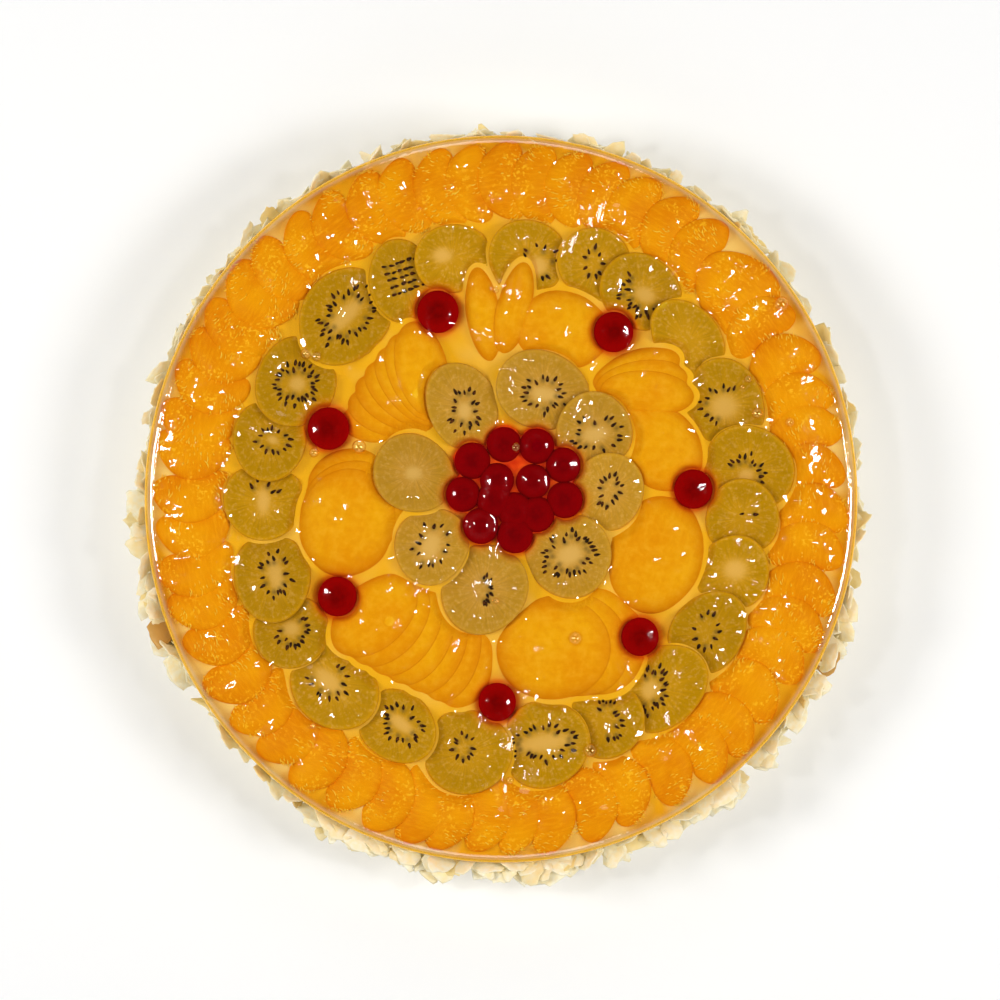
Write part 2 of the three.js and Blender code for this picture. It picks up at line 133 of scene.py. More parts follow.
SEED_SIZES = [(2.35, 1.15, 0.8), (2.1, 1.25, 0.8), (2.55, 1.1, 0.8)]  # length, width, thickness

# Halved cherries between the peaches: direction, distance, radius
CHERRIES = [
    (2.9, 75.7, 7.6), (55.5, 78.1, 7.8), (109.0, 76.3, 8.2), (158.2, 73.1, 8.2),
    (210.3, 74.5, 7.7), (268.9, 78.3, 7.4), (315.8, 76.2, 7.4),
]
CHERRY_HIGH = 8.9
CHERRY_SUNK = 1.6  # its widest part lies this much above the floor
CHERRY_FULL = 0.86  # below 1, its back is fuller than a ball's
CHERRY_SLOPE = 2.2  # how steeply what lies under its edge comes up beside it
CLUSTER_RADIUS = 7.0
CLUSTER = [
    (1.2, 20.9), (14.0, 20.3), (24.4, 13.0), (25.0, -0.3), (14.0, -5.8),
    (5.4, -13.8), (-7.9, -10.3), (-14.9, 1.8), (-11.2, 14.7), (-1.6, 7.2),
    (12.6, 6.7), (-2.7, -0.4), (5.4, -4.3),
]

# Peach halves, cut into fans: the first slice's middle, turn and half sizes, how many of them the solid
# has, the step and turn to the next one, and how many thin slices each of those is cut into
PEACHES = [
    (5.2, 73.5, 77, 19.0, 7.2, 2, -12.0, -2.0, 22, 1),
    (57.5, 40.5, -4, 19.2, 9.0, 2, -4.4, 8.0, 24, 2),
    (61.0, 20.6, -38, 20.6, 16.4, 1, 0.0, 0.0, 0, 1),
    (23.4, 65.0, -6, 19.4, 16.0, 1, 0.0, 0.0, 0, 1),
    (-31.0, 50.0, 105, 19.5, 10.5, 4, -4.2, -6.4, 26, 2),
    (-60.5, -9.0, 70, 21.5, 19.5, 2, 4.0, 9.0, -95, 2),
    (-50.0, -45.0, 40, 20.5, 13.0, 4, 11.6, -5.6, 14, 2),
    (20.6, -57.6, 5, 23.0, 20.6, 2, 15.6, 3.0, -60, 2),
    (60.6, -21.4, 74, 23.4, 19.6, 1, 0.0, 0.0, 0, 1),
]
PEACH_HIGH = 7.6
PEACH_SINK = 0.55  # each next slice of a fan lies this much lower
PEACH_RINGS, PEACH_STEPS = 24, 88
PEACH_WORN_FROM = 0.97
PEACH_CREASE = 6  # how sharply two slices of a fan meet

DENTS = 1100  # small dents in the jelly's skin
DENT_PATCHES = [  # where most of them lie: X, Y and reach
    (54, 80, 16), (96, 80, 12), (102, -12, 17), (92, -40, 12), (126, -5, 12),
    (-120, 10, 16), (-117, -38, 14), (-98, 36, 14), (-76, -72, 16), (58, -80, 14),
    (8, -98, 14), (28, 22, 12), (-26, -24, 14), (-60, 95, 14), (38, 118, 12),
]
THREADS = 110  # torn pulp threads on each mandarin segment
THREAD_SIZES = [(1.9, 0.42, 0.3), (1.2, 0.5, -0.2), (2.6, 0.38, 0.4)]  # length, width, bow
FLAKES = 640
FLAKE_PATCHES = [(180, 208), (238, 344)]  # directions between which the flakes lie thickest

# Air bubbles caught in the jelly: X, Y and radius
AIR_BUBBLES = [
    (-55.6, 20.0, 2.8), (-73.3, 17.8, 1.9), (-76.4, 55.8, 2.2), (-72.1, 54.7, 2.0),
    (-2.1, 80.2, 1.3), (5.8, 19.8, 2.0), (29.1, -53.5, 3.0), (34.9, -96.5, 2.8),
    (96.9, 46.1, 1.6), (94.6, 43.0, 1.0), (100.4, 32.9, 2.2), (113.2, 29.5, 2.0),
    (-1.9, -39.1, 1.3), (-73.6, -87.2, 1.3), (3.5, -108.1, 1.6), (109.7, 74.8, 3.2),
]


def uneven(number, kind):
    """A steady unevenness from -1 to 1 for the numbered piece, the same as the solids have."""
    s = math.sin(number * 12.9898 + kind * 78.233) * 43758.5453
    return 2 * (s - math.floor(s)) - 1


def turned(xy, degrees):
    """Points turned anticlockwise about zero."""
    c, s = math.cos(math.radians(degrees)), math.sin(math.radians(degrees))
    x, y = xy[..., 0], xy[..., 1]
    return np.stack([x * c - y * s, x * s + y * c], axis=-1)


def to_frame(points):
    """Torte millimetres to the frame's metres."""
    return (points * [1 - OUT_OF_ROUND, 1 + OUT_OF_ROUND, 1.0] + AXIS) * MM


class Skin:
    """A closed skin: its points in torte millimetres, its faces, and the values its material reads."""

    def __init__(self, points, faces, values=None):
        self.points = points
        self.faces = faces
        self.values = values or {}


def skin_over(rings, first, last):
    """A skin over rings of points, an array (rings, steps, 3), closed by one point at each end."""
    count, steps = rings.shape[:2]
    points = np.vstack([[first], rings.reshape(-1, 3), [last]])
    at = 1 + np.arange(count * steps).reshape(count, steps)
    after = np.roll(at, -1, axis=1)
    sides = np.stack([at[:-1], at[1:], after[1:], after[:-1]], axis=-1).reshape(-1, 4)
    start = np.stack([np.zeros(steps, int), at[0], after[0]], axis=-1)
    end = np.stack([np.full(steps, len(points) - 1), after[-1], at[-1]], axis=-1)
    return Skin(points, start.tolist() + sides.tolist() + end.tolist())


def joined(skins):
    """Several skins as one, with their values kept."""
    shift, faces = 0, []
    for one in skins:
        faces += [[k + shift for k in face] for face in one.faces]
        shift += len(one.points)
    names = skins[0].values
    values = {name: np.concatenate([one.values[name] for one in skins]) for name in names}
    return Skin(np.vstack([one.points for one in skins]), faces, values)


def closed_mesh(name, points, faces):
    """A smooth mesh whose faces all point outwards."""
    mesh = bpy.data.meshes.new(name)
    mesh.from_pydata(points.tolist(), [], faces)
    work = bmesh.new()
    work.from_mesh(mesh)
    bmesh.ops.recalc_face_normals(work, faces=work.faces)
    work.to_mesh(mesh)
    work.free()
    mesh.polygons.foreach_set("use_smooth", [True] * len(mesh.polygons))
    return mesh


def add_piece(name, skin, material, replaced=()):
    """Makes a skin an object of the torte, with its values as point attributes."""
    mesh = closed_mesh(name, to_frame(skin.points), skin.faces)
    for key, value in skin.values.items():
        kind = "FLOAT_VECTOR" if value.ndim == 2 else "FLOAT"
        field = "vector" if value.ndim == 2 else "value"
        mesh.attributes.new(key, kind, "POINT").data.foreach_set(field, value.astype(np.float32).ravel())
    mesh.materials.append(material)
    piece = bpy.data.objects.new(name, mesh)
    bpy.context.scene.collection.objects.link(piece)
    belongs(piece, replaced)


def belongs(piece, replaced=()):
    """The piece rides on the torte and stands for CAD nodes, which are hidden."""
    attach(piece, "root")
    if replaced:
        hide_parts(*replaced)


# Shapes of fruit. limit() is how high a lower piece may reach near an upper one.


class KiwiSlice:
    """A slice of kiwi that climbs with the direction round the torte."""

    GIVE = 1.2  # how steeply what lies under its edge comes up beside it

    def __init__(self, row, ring, number):
        self.direction, self.distance, self.along, self.across = row[:4]
        self.cut = row[4:]
        self.ring = ring
        self.number = number
        self.uppers = []

    def outline(self, a):
        oval = 0.025 * np.cos(2 * a + 3 * uneven(self.number, 7))
        corners = 0.02 * np.cos(3 * a + 3 * uneven(self.number, 8))
        return 1 + oval + corners

    def at(self, unit):
        """Places in the torte of points given as shares of the outline."""
        a = np.arctan2(unit[..., 1], unit[..., 0])
        flat = unit * [self.across, self.along] * self.outline(a)[..., None]
        return turned(flat + [self.distance, 0.0], self.direction)

    def unit(self, xy):
        """The reverse of at()."""
        flat = (turned(xy, -self.direction) - [self.distance, 0.0]) / [self.across, self.along]
        a = np.arctan2(flat[..., 1], flat[..., 0])
        return flat / self.outline(a)[..., None]

    def middle(self, xy):
        local = turned(xy, -self.direction)
        turn = np.degrees(np.arctan2(local[..., 1], local[..., 0]))
        climb = self.ring["rise"] * np.clip(turn, -self.ring["most"], self.ring["most"])
        return FRUIT_FLOOR + self.ring["middle"] + climb

    def top(self, xy):
        return pressed(self.middle(xy) + KIWI_THICK / 2, xy, self.uppers)

    def limit(self, xy):
        outside = (np.linalg.norm(self.unit(xy), axis=-1) - 1) * (self.across + self.along) / 2
        under = self.middle(xy) - KIWI_THICK / 2 - 0.15
        return np.maximum(under, FRUIT_FLOOR) + self.GIVE * np.maximum(outside, 0)


class Oval:
    """The outline of a piece of peach or a cherry, seen from above."""

    def __init__(self, x, y, turn, long, wide, under, give):
        self.x, self.y, self.turn, self.long, self.wide = x, y, turn, long, wide
        self.under, self.give = under, give

    def at(self, unit):
        return turned(unit * [self.long, self.wide], self.turn) + [self.x, self.y]

    def unit(self, xy):
        return turned(xy - [self.x, self.y], -self.turn) / [self.long, self.wide]

    def reach(self, xy):
        return np.linalg.norm(self.unit(xy), axis=-1)

    def limit(self, xy):
        outside = (self.reach(xy) - 1) * (self.long + self.wide) / 2
        return FRUIT_FLOOR + self.under + self.give * np.maximum(outside, 0)


def pressed(top, xy, uppers):
    """Heights that give way to the pieces lying on them, never down through the floor."""
    for upper in uppers:
        top = np.minimum(top, upper.limit(xy))
    return np.maximum(top, FRUIT_FLOOR + 0.4)


def circle(steps):
    a = np.linspace(0, 2 * math.pi, steps, endpoint=False)
    return np.stack([np.cos(a), np.sin(a)], axis=-1)


def stain_at(xy, heap_reach=1.7):
    """How much red the jelly takes from the cherries near a place."""
    stain = np.zeros(xy.shape[:-1])
    for cherry, reach in [(one, 2.0) for one in single_cherries] + [(one, heap_reach) for one in heap]:
        away = np.linalg.norm(xy - [cherry.x, cherry.y], axis=-1) - cherry.long
        stain = np.maximum(stain, np.exp(-np.maximum(away, 0) / reach))
    return stain


def slice_skin(shape, top, thick, rings, steps, edge):
    """A slice from the shape's outline: its top by a function of the place, and an edge from there on
    that is worn round and thin."""
    worn = [(edge + (1 - edge) * 0.6, 0.88), (1, 0.5), (1, 0.12), (0.97, 0), (0.6, 0)]
    reach = np.concatenate([np.linspace(1 / rings, edge, rings), [share for share, _ in worn]])
    level = np.concatenate([np.ones(rings), [high for _, high in worn]])
    unit = reach[:, None, None] * circle(steps)[None]
    unit = np.concatenate([np.zeros((1, steps, 2)), unit, np.zeros((1, steps, 2))])
    level = np.concatenate([[1], level, [0]])[:, None]
    xy = shape.at(unit)
    high = top(xy)
    low = np.maximum(high - thick, FRUIT_FLOOR)
    points = np.concatenate([xy, (low + level * (high - low))[..., None]], axis=-1)
    skin = skin_over(points[1:-1], points[0, 0], points[-1, 0])
    flat = np.vstack([unit[0, :1], unit[1:-1].reshape(-1, 2), unit[-1, :1]])
    return skin, flat


def seed_places(kiwi, draw):
    """Where a slice's seeds lie on its cut face, as millimetres from its middle along X and Y, with the
    direction each points in."""
    count, long, wide, turn, _, _, off_x, off_y, first, over = kiwi.cut
    if kiwi.number == SEEDS_IN_ROWS + len(INNER_KIWIS):
        columns, rows = 6, 5
        spots = [
            ((c - 2.5) * 2.5 + draw.uniform(-0.5, 0.5), (r - 2) * 2.7 + draw.uniform(-0.4, 0.4))
            for r in range(rows)
            for c in range(columns)
        ]
        spots = np.array(spots)
        aim = np.full(len(spots), float(turn)) + draw.uniform(-15, 15, len(spots))
        return turned(spots, turn) + [off_x, off_y], np.radians(aim)
    steps = np.arange(count) + draw.uniform(-0.32, 0.32, count)
    a = np.radians(first + over * steps / max(count, 1))
    deep = draw.choice([0.74, 0.9, 1.0, 1.1], count) + draw.uniform(-0.05, 0.05, count)
    spots = np.stack([np.cos(a) * long * deep, np.sin(a) * wide * deep], axis=-1)
    aim = np.arctan2(spots[:, 1], spots[:, 0]) + math.radians(turn) + draw.uniform(-0.3, 0.3, count)
    return turned(spots, turn) + [off_x, off_y], aim


def kiwi_skin(kiwi, draw):
    """A slice of kiwi, with the marks of its cut face, and its seeds' places, aims and sizes."""
    skin, flat = slice_skin(kiwi, kiwi.top, KIWI_THICK, KIWI_RINGS, KIWI_STEPS, KIWI_WORN_FROM)
    _, _, _, turn, core_long, core_wide, off_x, off_y, _, _ = kiwi.cut
    middle = kiwi.at(np.zeros(2))
    away = skin.points[:, :2] - middle - [off_x, off_y]
    core = np.zeros(len(away))
    if core_long:
        share = turned(away, -turn) / [core_long, core_wide]
        core = 1 / (1 + np.exp((np.linalg.norm(share, axis=-1) - 1) * 5))
    spots, aims = seed_places(kiwi, draw)
    deep = np.zeros(len(away))
    for spot in spots[::2]:
        inward = (spot - [off_x, off_y]) * draw.uniform(0.72, 0.95) + [off_x, off_y]
        gap = np.linalg.norm(skin.points[:, :2] - middle - inward, axis=-1)
        deep = np.maximum(deep, np.exp(-((gap / SEED_SHADOW) ** 2)))
    tone = np.full(len(away), 0.5 + 0.5 * uneven(kiwi.number, 9))
    skin.values = {
        "cut": np.column_stack([flat, np.full(len(flat), float(kiwi.number))]),
        "kiwi_marks": np.column_stack([core, deep, tone]),
        "stain": stain_at(skin.points[:, :2]),
    }
    places = spots + middle
    inside = np.linalg.norm(kiwi.unit(places), axis=-1) < SEEDS_WITHIN
    places, aims = places[inside], aims[inside]
    heights = kiwi.top(places)
    ahead = places + SEED_STEP * np.stack([np.cos(aims), np.sin(aims)], axis=-1)
    dip = np.arctan2(heights - kiwi.top(ahead), SEED_STEP)
    size = draw.uniform(0.82, 1.15, len(places))
    return skin, (np.column_stack([places, heights]), np.column_stack([0 * dip, dip, aims]), size)


def peach_slices(row):
    """The outlines of a fan's thin slices, the uppermost first, with each one's height and how far it
    lies under the first."""
    x, y, turn, long, wide, count, step_x, step_y, spread, finer = row
    slices = []
    for k in range((count - 1) * finer + 1):
        share = k / finer
        oval = Oval(x + share * step_x, y + share * step_y, turn + share * spread, long, wide, 2.0, 1.3)
        slices.append((oval, PEACH_HIGH - share * PEACH_SINK, share * PEACH_SINK))
    return slices


def dome(reach, high):
    """The height of a rounded back: upright at its edge and nearly level in the middle."""
    return high * (1 - np.minimum(reach, 1) ** 3) ** (1 / 2.4)


def peach_skins(row, number, uppers):
    slices = peach_slices(row)
    skins = []
    for k, (oval, _, sunk) in enumerate(slices):

        def top(xy, sunk=sunk):
            backs = [dome(one.reach(xy), high) for one, high, _ in slices]
            together = sum(back**PEACH_CREASE for back in backs) ** (1 / PEACH_CREASE)
            return pressed(FRUIT_FLOOR + np.maximum(together - 0.8 * sunk, 0.2), xy, uppers)

        skin, flat = slice_skin(oval, top, PEACH_HIGH, PEACH_RINGS, PEACH_STEPS, PEACH_WORN_FROM)
        grain = flat * [oval.long, oval.wide]
        skin.values = {
            "grain": np.column_stack([grain, np.full(len(grain), 3.0 * number + k)]),
            "edge": np.linalg.norm(flat, axis=-1),
            "stain": stain_at(skin.points[:, :2]),
        }
        skins.append(skin)
    return skins


def mandarin_skin(number, reach, share, uppers):
    """A mandarin segment: a half moon, thick at its round side and thin at its inner edge."""
    long = MANDARIN_LONG * (1 + 0.04 * uneven(number, 1))
    wide = MANDARIN_WIDE * share
    thick = MANDARIN_THICK * (1 + 0.05 * uneven(number, 3))
    round_side = MANDARIN_LEAD - wide / 2
    rings, steps = 34, 44
    tip = np.linspace(0, math.pi, rings + 2)[:, None]
    about = np.linspace(0, 2 * math.pi, steps, endpoint=False)[None]
    x = np.cos(tip) + 0 * about
    y = np.sin(tip) * np.cos(about)
    z = np.sin(tip) * np.sin(about)
    deep = MANDARIN_THIN + (thick - MANDARIN_THIN) * np.sin((y + 1) / 2 * math.pi / 1.7)
    grain = np.stack([x * long / 2, y * wide / 2, np.full_like(x, number)], axis=-1)
    across = y * wide / 2 - MANDARIN_BEND * x * x
    high = z * deep / 2
    tilt = math.radians(MANDARIN_TILT)
    points = np.stack(
        [
            x * long / 2,
            across * math.cos(tilt) - high * math.sin(tilt),
            across * math.sin(tilt) + high * math.cos(tilt),
        ],
        axis=-1,
    )
    xy = turned(points[..., :2], 4 * uneven(number, 4))
    xy = turned(xy + [MANDARIN_RING + 0.9 * uneven(number, 5), round_side], reach)
    level = points[..., 2] + FRUIT_FLOOR + thick * MANDARIN_BED
    over = np.clip((level - FRUIT_FLOOR) / thick, 0, 1)
    top = pressed(level, xy, uppers)
    level = np.minimum(level, np.where(z > 0, top, top - 0.3 * over))
    level = np.maximum(level, FRUIT_FLOOR)
    placed = np.concatenate([xy, level[..., None]], axis=-1)
    skin = skin_over(placed[1:-1], placed[0, 0], placed[-1, 0])
    inner = grain[1:-1].reshape(-1, 3)
    grain = np.vstack([grain[0, :1], inner, grain[-1, :1]])
    side = np.concatenate([[0], y[1:-1].ravel(), [0]])
    skin.values = {"grain": grain, "edge": np.abs(side), "stain": stain_at(skin.points[:, :2])}
    return skin


def mandarin_run(run, first, uppers):
    """A run's segments, and the direction of each one's round side."""
    start, end, count, lead = run
    pitch = (end - start) / (count - 1 + lead)
    skins, reaches = [], []
    for k in range(count):
        reaches.append(start + pitch * (k + lead + 0.1 * uneven(first + k, 6)))
        skins.append(mandarin_skin(first + k, reaches[-1], lead if k == 0 else 1.0, uppers))
    return skins, reaches


def thread_marks(skin, reach, draw):
    """Where torn pulp threads lie on a segment: in patches on its top, and fanned out from its thin
    edge to its round side."""
    grain = skin.values["grain"]
    up = np.flatnonzero(skin.points[:, 2] > FRUIT_FLOOR + 2.2)
    x, y, own = grain[up].T
    up = up[np.sin(x / 3.1 + own * 2.1) + np.sin(y / 2.6 + own * 1.3) > 0.25]
    picked = draw.choice(up, min(THREADS, len(up)), replace=False)
    count = len(picked)
    places = skin.points[picked] + [0, 0, 0.12]
    places[:, :2] += draw.uniform(-0.5, 0.5, (count, 2))
    fan = np.radians(reach + 90) - 0.05 * grain[picked, 0] + draw.uniform(-0.35, 0.35, count)
    roll, dip = draw.uniform(-0.2, 0.2, count), draw.uniform(-0.25, 0.25, count)
    return places, np.column_stack([roll, dip, fan]), draw.uniform(0.6, 1.4, count)


def cherry_skin(cherry, high, number):
    """A halved cherry on its cut face, upright at its side and round on top."""
    rings, steps = 22, 56
    side = np.linspace(0.02, 1, rings)
    reach = np.concatenate([np.sin(side * math.pi / 2) ** CHERRY_FULL, [0.985, 0.9, 0.4]])
    lift = np.concatenate([np.cos(side * math.pi / 2) ** CHERRY_FULL, [-0.6, -1, -1]])
    unit = reach[:, None, None] * circle(steps)[None]
    xy = cherry.at(unit)
    body = high - CHERRY_SUNK
    level = np.where(lift > 0, CHERRY_SUNK + lift * body, CHERRY_SUNK * (1 + lift)) + FRUIT_FLOOR
    points = np.concatenate([xy, np.broadcast_to(level[:, None, None], (*xy.shape[:2], 1))], axis=-1)
    middle = [cherry.x, cherry.y]
    skin = skin_over(points, [*middle, FRUIT_FLOOR + high], [*middle, FRUIT_FLOOR])
    flat = np.vstack([[0, 0], unit.reshape(-1, 2), [0, 0]])
    skin.values = {"cut": np.column_stack([flat, np.full(len(flat), float(number))])}
    return skin


# Finishes

NOISE, RANGE, MIX = "ShaderNodeTexNoise", "ShaderNodeMapRange", "ShaderNodeMix"
MATHS, VECTORS, ATTRIBUTE = "ShaderNodeMath", "ShaderNodeVectorMath", "ShaderNodeAttribute"
COORDINATES, BUMP, SHADER = "ShaderNodeTexCoord", "ShaderNodeBump", "ShaderNodeBsdfPrincipled"
CLEAR, MIX_SHADER, OUTPUT = "ShaderNodeBsdfTransparent", "ShaderNodeMixShader", "ShaderNodeOutputMaterial"


def linear(code):
    """An sRGB hex colour as linear RGBA."""
    parts = [int(code[k : k + 2], 16) / 255 for k in (1, 3, 5)]
    return [p / 12.92 if p <= 0.04045 else ((p + 0.055) / 1.055) ** 2.4 for p in parts] + [1.0]


def every(size):
    """The scale of a pattern whose patches are about so many millimetres wide."""
    return 1 / (size * MM)


def add_node(tree, kind, inputs=None, output=0, **settings):
    """Adds a node with its settings, and gives one of its outputs, or all of them for None. An input
    is a value, a hex colour, or an output that is linked to it."""
    node = tree.nodes.new(kind)
    for name, value in settings.items():
        setattr(node, name, value)
    for name, value in (inputs or {}).items():
        if isinstance(value, bpy.types.NodeSocket):
            tree.links.new(value, node.inputs[name])
        elif isinstance(value, str) and value.startswith("#"):
            node.inputs[name].default_value = linear(value)
        else:
            node.inputs[name].default_value = value
    return node.outputs if output is None else node.outputs[output]


def new_material(name):
    material = bpy.data.materials.new(name)
    material.use_nodes = True
    material.node_tree.nodes.clear()
    return material, material.node_tree


def laid_over(tree, under, over, value, low, high, most=1.0):
    """A colour laid over another: not at all where a value is low, and at most where it is high."""
    share = add_node(tree, RANGE, {"Value": value, "From Min": low, "From Max": high, "To Max": most})
    return add_node(tree, MIX, {0: share, 6: under, 7: over}, 2, data_type="RGBA")


def finish_with(tree, colour, roughness, specular, height=None, strength=0.3, deep=0.3):
    """The shader that a material ends in, with a bump of so many millimetres."""
    inputs = {"Base Color": colour, "Roughness": roughness, "Specular IOR Level": specular}
    if height is not None:
        bump = {"Strength": strength, "Distance": deep * MM, "Height": height}
        inputs["Normal"] = add_node(tree, BUMP, bump)
    add_node(tree, OUTPUT, {"Surface": add_node(tree, SHADER, inputs)}, None)


def red_from_cherries(tree, colour):
    """Cherry juice in the jelly turns what lies close to a cherry orange and then red."""
    stain = add_node(tree, ATTRIBUTE, output="Fac", attribute_name="stain")
    colour = laid_over(tree, colour, "#F07C08", stain, 0.05, 0.6, 0.55)
    return laid_over(tree, colour, "#DA2206", stain, 0.35, 1, 0.85)


def kiwi_flesh(name, core, inside, flesh, rim):
    """Cut kiwi, wet and a little see-through: pale in its core, with fine rays that run outwards and
    grey shadows of seeds that lie deeper, and yellower at its thin edge, with painted light there that
    lightens the edge as if light shone through it and lifts its shade."""
    material, tree = new_material(name)
    cut = add_node(tree, ATTRIBUTE, output="Vector", attribute_name="cut")
    marks = add_node(tree, ATTRIBUTE, output="Vector", attribute_name="kiwi_marks")
    at_core, over_seed, own_tone = add_node(tree, "ShaderNodeSeparateXYZ", {0: marks}, None)
    flat = add_node(tree, VECTORS, {0: cut, 1: (1, 1, 0)}, operation="MULTIPLY")
    reach = add_node(tree, VECTORS, {0: flat}, "Value", operation="LENGTH")
    outward = add_node(tree, VECTORS, {0: flat}, operation="NORMALIZE")
    outward = add_node(tree, VECTORS, {0: outward, 1: (13, 13, 0)}, operation="MULTIPLY")
    own = add_node(tree, VECTORS, {0: cut, 1: (1.2, 1.2, 7)}, operation="MULTIPLY")
    ray_at = add_node(tree, VECTORS, {0: outward, 1: own}, operation="ADD")
    rays = add_node(tree, NOISE, {"Vector": ray_at, "Scale": 1, "Detail": 2, "Roughness": 0.6})
    place = add_node(tree, COORDINATES, output="Object")
    cloud = add_node(tree, NOISE, {"Vector": place, "Scale": every(5.2632), "Detail": 2})
    fine = {"Vector": place, "Scale": every(1.6129), "Detail": 3, "Roughness": 0.6}
    wavy = add_node(tree, MATHS, {0: cloud, 1: 0.5, 2: reach}, operation="MULTIPLY_ADD")
    colour = laid_over(tree, inside, flesh, wavy, 0.56, 0.9)
    # Painted light: the rim colour lightens the thin edge as if light shone through it, and lifts the
    # shade there.
    colour = laid_over(tree, colour, rim, reach, 0.88, 0.99)
    colour = laid_over(tree, colour, inside, cloud, 0.35, 0.7, 0.4)
    colour = laid_over(tree, colour, core, add_node(tree, NOISE, fine), 0.5, 0.72, 0.4)
    light = {"Value": rays, "From Min": 0.3, "From Max": 0.7, "To Min": 0.87, "To Max": 1.13}
    held = {"Value": reach, "From Min": 0.55, "To Min": 1, "To Max": 0.25}
    lit = {0: add_node(tree, RANGE, held), 6: colour, 7: add_node(tree, RANGE, light)}
    colour = add_node(tree, MIX, lit, 2, data_type="RGBA", blend_type="MULTIPLY")
    colour = laid_over(tree, colour, core, at_core, 0, 1, 0.9)
    colour = laid_over(tree, colour, "#5A5236", over_seed, 0, 1, 0.66)
    tone = add_node(tree, RANGE, {"Value": own_tone, "To Min": 0.92, "To Max": 1.07})
    toned = {0: 1.0, 6: colour, 7: tone}
    colour = add_node(tree, MIX, toned, 2, data_type="RGBA", blend_type="MULTIPLY")
    finish_with(tree, red_from_cherries(tree, colour), 0.45, 0.06, rays, 0.25, 0.25)
    return material


def tinned_peach():
    """Tinned peach, smooth and soft, with faint fibres along each slice, and painted shade that darkens
    each slice's edge where it rounds down into the crease beside the next.
    """
    material, tree = new_material("tinned_peach_flesh")
    grain = add_node(tree, ATTRIBUTE, output="Vector", attribute_name="grain")
    edge = add_node(tree, ATTRIBUTE, output="Fac", attribute_name="edge")
    along = add_node(tree, VECTORS, {0: grain, 1: (0.09, 0.75, 1.7)}, operation="MULTIPLY")
    fibre = add_node(tree, NOISE, {"Vector": along, "Scale": 1, "Detail": 2, "Roughness": 0.55})
    place = add_node(tree, COORDINATES, output="Object")
    cloud = add_node(tree, NOISE, {"Vector": place, "Scale": every(22.222), "Detail": 1})
    fine = {"Vector": place, "Scale": every(3.4483), "Detail": 3, "Roughness": 0.6}
    mottle = add_node(tree, NOISE, fine)
    colour = laid_over(tree, "#EAA208", "#F0B410", cloud, 0.35, 0.65)
    colour = laid_over(tree, colour, "#F4BE28", fibre, 0.4, 0.7, 0.22)
    colour = laid_over(tree, colour, "#F8C23A", mottle, 0.48, 0.7, 0.36)
    colour = laid_over(tree, colour, "#E09004", mottle, 0.5, 0.3, 0.32)
    # Painted shade: darker towards each slice's edge, where it rounds down into the crease beside the next
    # slice.
    colour = laid_over(tree, colour, "#DA8604", edge, 0.7, 1, 0.55)
    finish_with(tree, red_from_cherries(tree, colour), 0.5, 0.03, mottle, 0.3, 0.4)
    return material


def mandarin_pulp():
    """Tinned mandarin without its skin: amber juice sacs about 1 mm across that run from the thin edge
    to the round side, patches of bright yellow specks that are a painted sparkle of the sacs, and painted
    shade, a deeper orange, along its sides, where two segments meet."""
    material, tree = new_material("mandarin_juice_sacs")
    grain = add_node(tree, ATTRIBUTE, output="Vector", attribute_name="grain")
    edge = add_node(tree, ATTRIBUTE, output="Fac", attribute_name="edge")
    along = add_node(tree, VECTORS, {0: grain, 1: (0.85, 0.2, 5)}, operation="MULTIPLY")
    sacs = add_node(tree, NOISE, {"Vector": along, "Scale": 1, "Detail": 2, "Roughness": 0.6})
    place = add_node(tree, COORDINATES, output="Object")
    cloud = add_node(tree, NOISE, {"Vector": place, "Scale": every(14.286), "Detail": 1})
    patch = add_node(tree, NOISE, {"Vector": place, "Scale": every(11.765), "Detail": 1})
    sparkle_specks = add_node(tree, NOISE, {"Vector": place, "Scale": every(1.25), "Detail": 1})
    sparkle_patches = {"Value": patch, "From Min": 0.47, "From Max": 0.6, "To Max": 0.8}
    colour = laid_over(tree, "#E69204", "#F0A808", cloud, 0.35, 0.65)
    colour = laid_over(tree, colour, "#FAB818", sacs, 0.45, 0.72, 0.5)
    # Painted sparkle: bright yellow specks in patches, where the juice sacs would catch the light.
    colour = laid_over(tree, colour, "#FFCC30", sparkle_specks, 0.56, 0.66, add_node(tree, RANGE, sparkle_patches))
    # Painted shade: deeper orange along both long sides of each segment, where it meets the next.
    colour = laid_over(tree, colour, "#DC7E02", edge, 0.88, 1, 0.5)
    finish_with(tree, red_from_cherries(tree, colour), 0.45, 0.04, sacs, 0.35, 0.5)
    return material


def pulp_thread():
    """A juice sac's torn wall: a thin thread, pale yellow and bright in the light."""
    material, tree = new_material("torn_pulp_thread")
    shade = add_node(tree, ATTRIBUTE, output="Fac", attribute_name="shade")
    finish_with(tree, laid_over(tree, "#FFCC18", "#FFE860", shade, 0, 1), 0.35, 0.3)
    return material


def candied_cherry(name, edge_colour, middle_colour):
    """A glazed cherry: a clear deep red, darkest in the middle, where it is thickest."""
    material, tree = new_material(name)
    cut = add_node(tree, ATTRIBUTE, output="Vector", attribute_name="cut")
    flat = add_node(tree, VECTORS, {0: cut, 1: (1, 1, 0)}, operation="MULTIPLY")
    reach = add_node(tree, VECTORS, {0: flat}, "Value", operation="LENGTH")
    own = add_node(tree, VECTORS, {0: cut, 1: (2.2, 2.2, 3)}, operation="MULTIPLY")
    mottle = add_node(tree, NOISE, {"Vector": own, "Scale": 1.4, "Detail": 3})
    colour = laid_over(tree, middle_colour, edge_colour, reach, 0.25, 0.98)
    colour = laid_over(tree, colour, edge_colour, mottle, 0.4, 0.75, 0.35)
    finish_with(tree, colour, 0.6, 0.0, mottle, 0.1, 0.3)
    return material


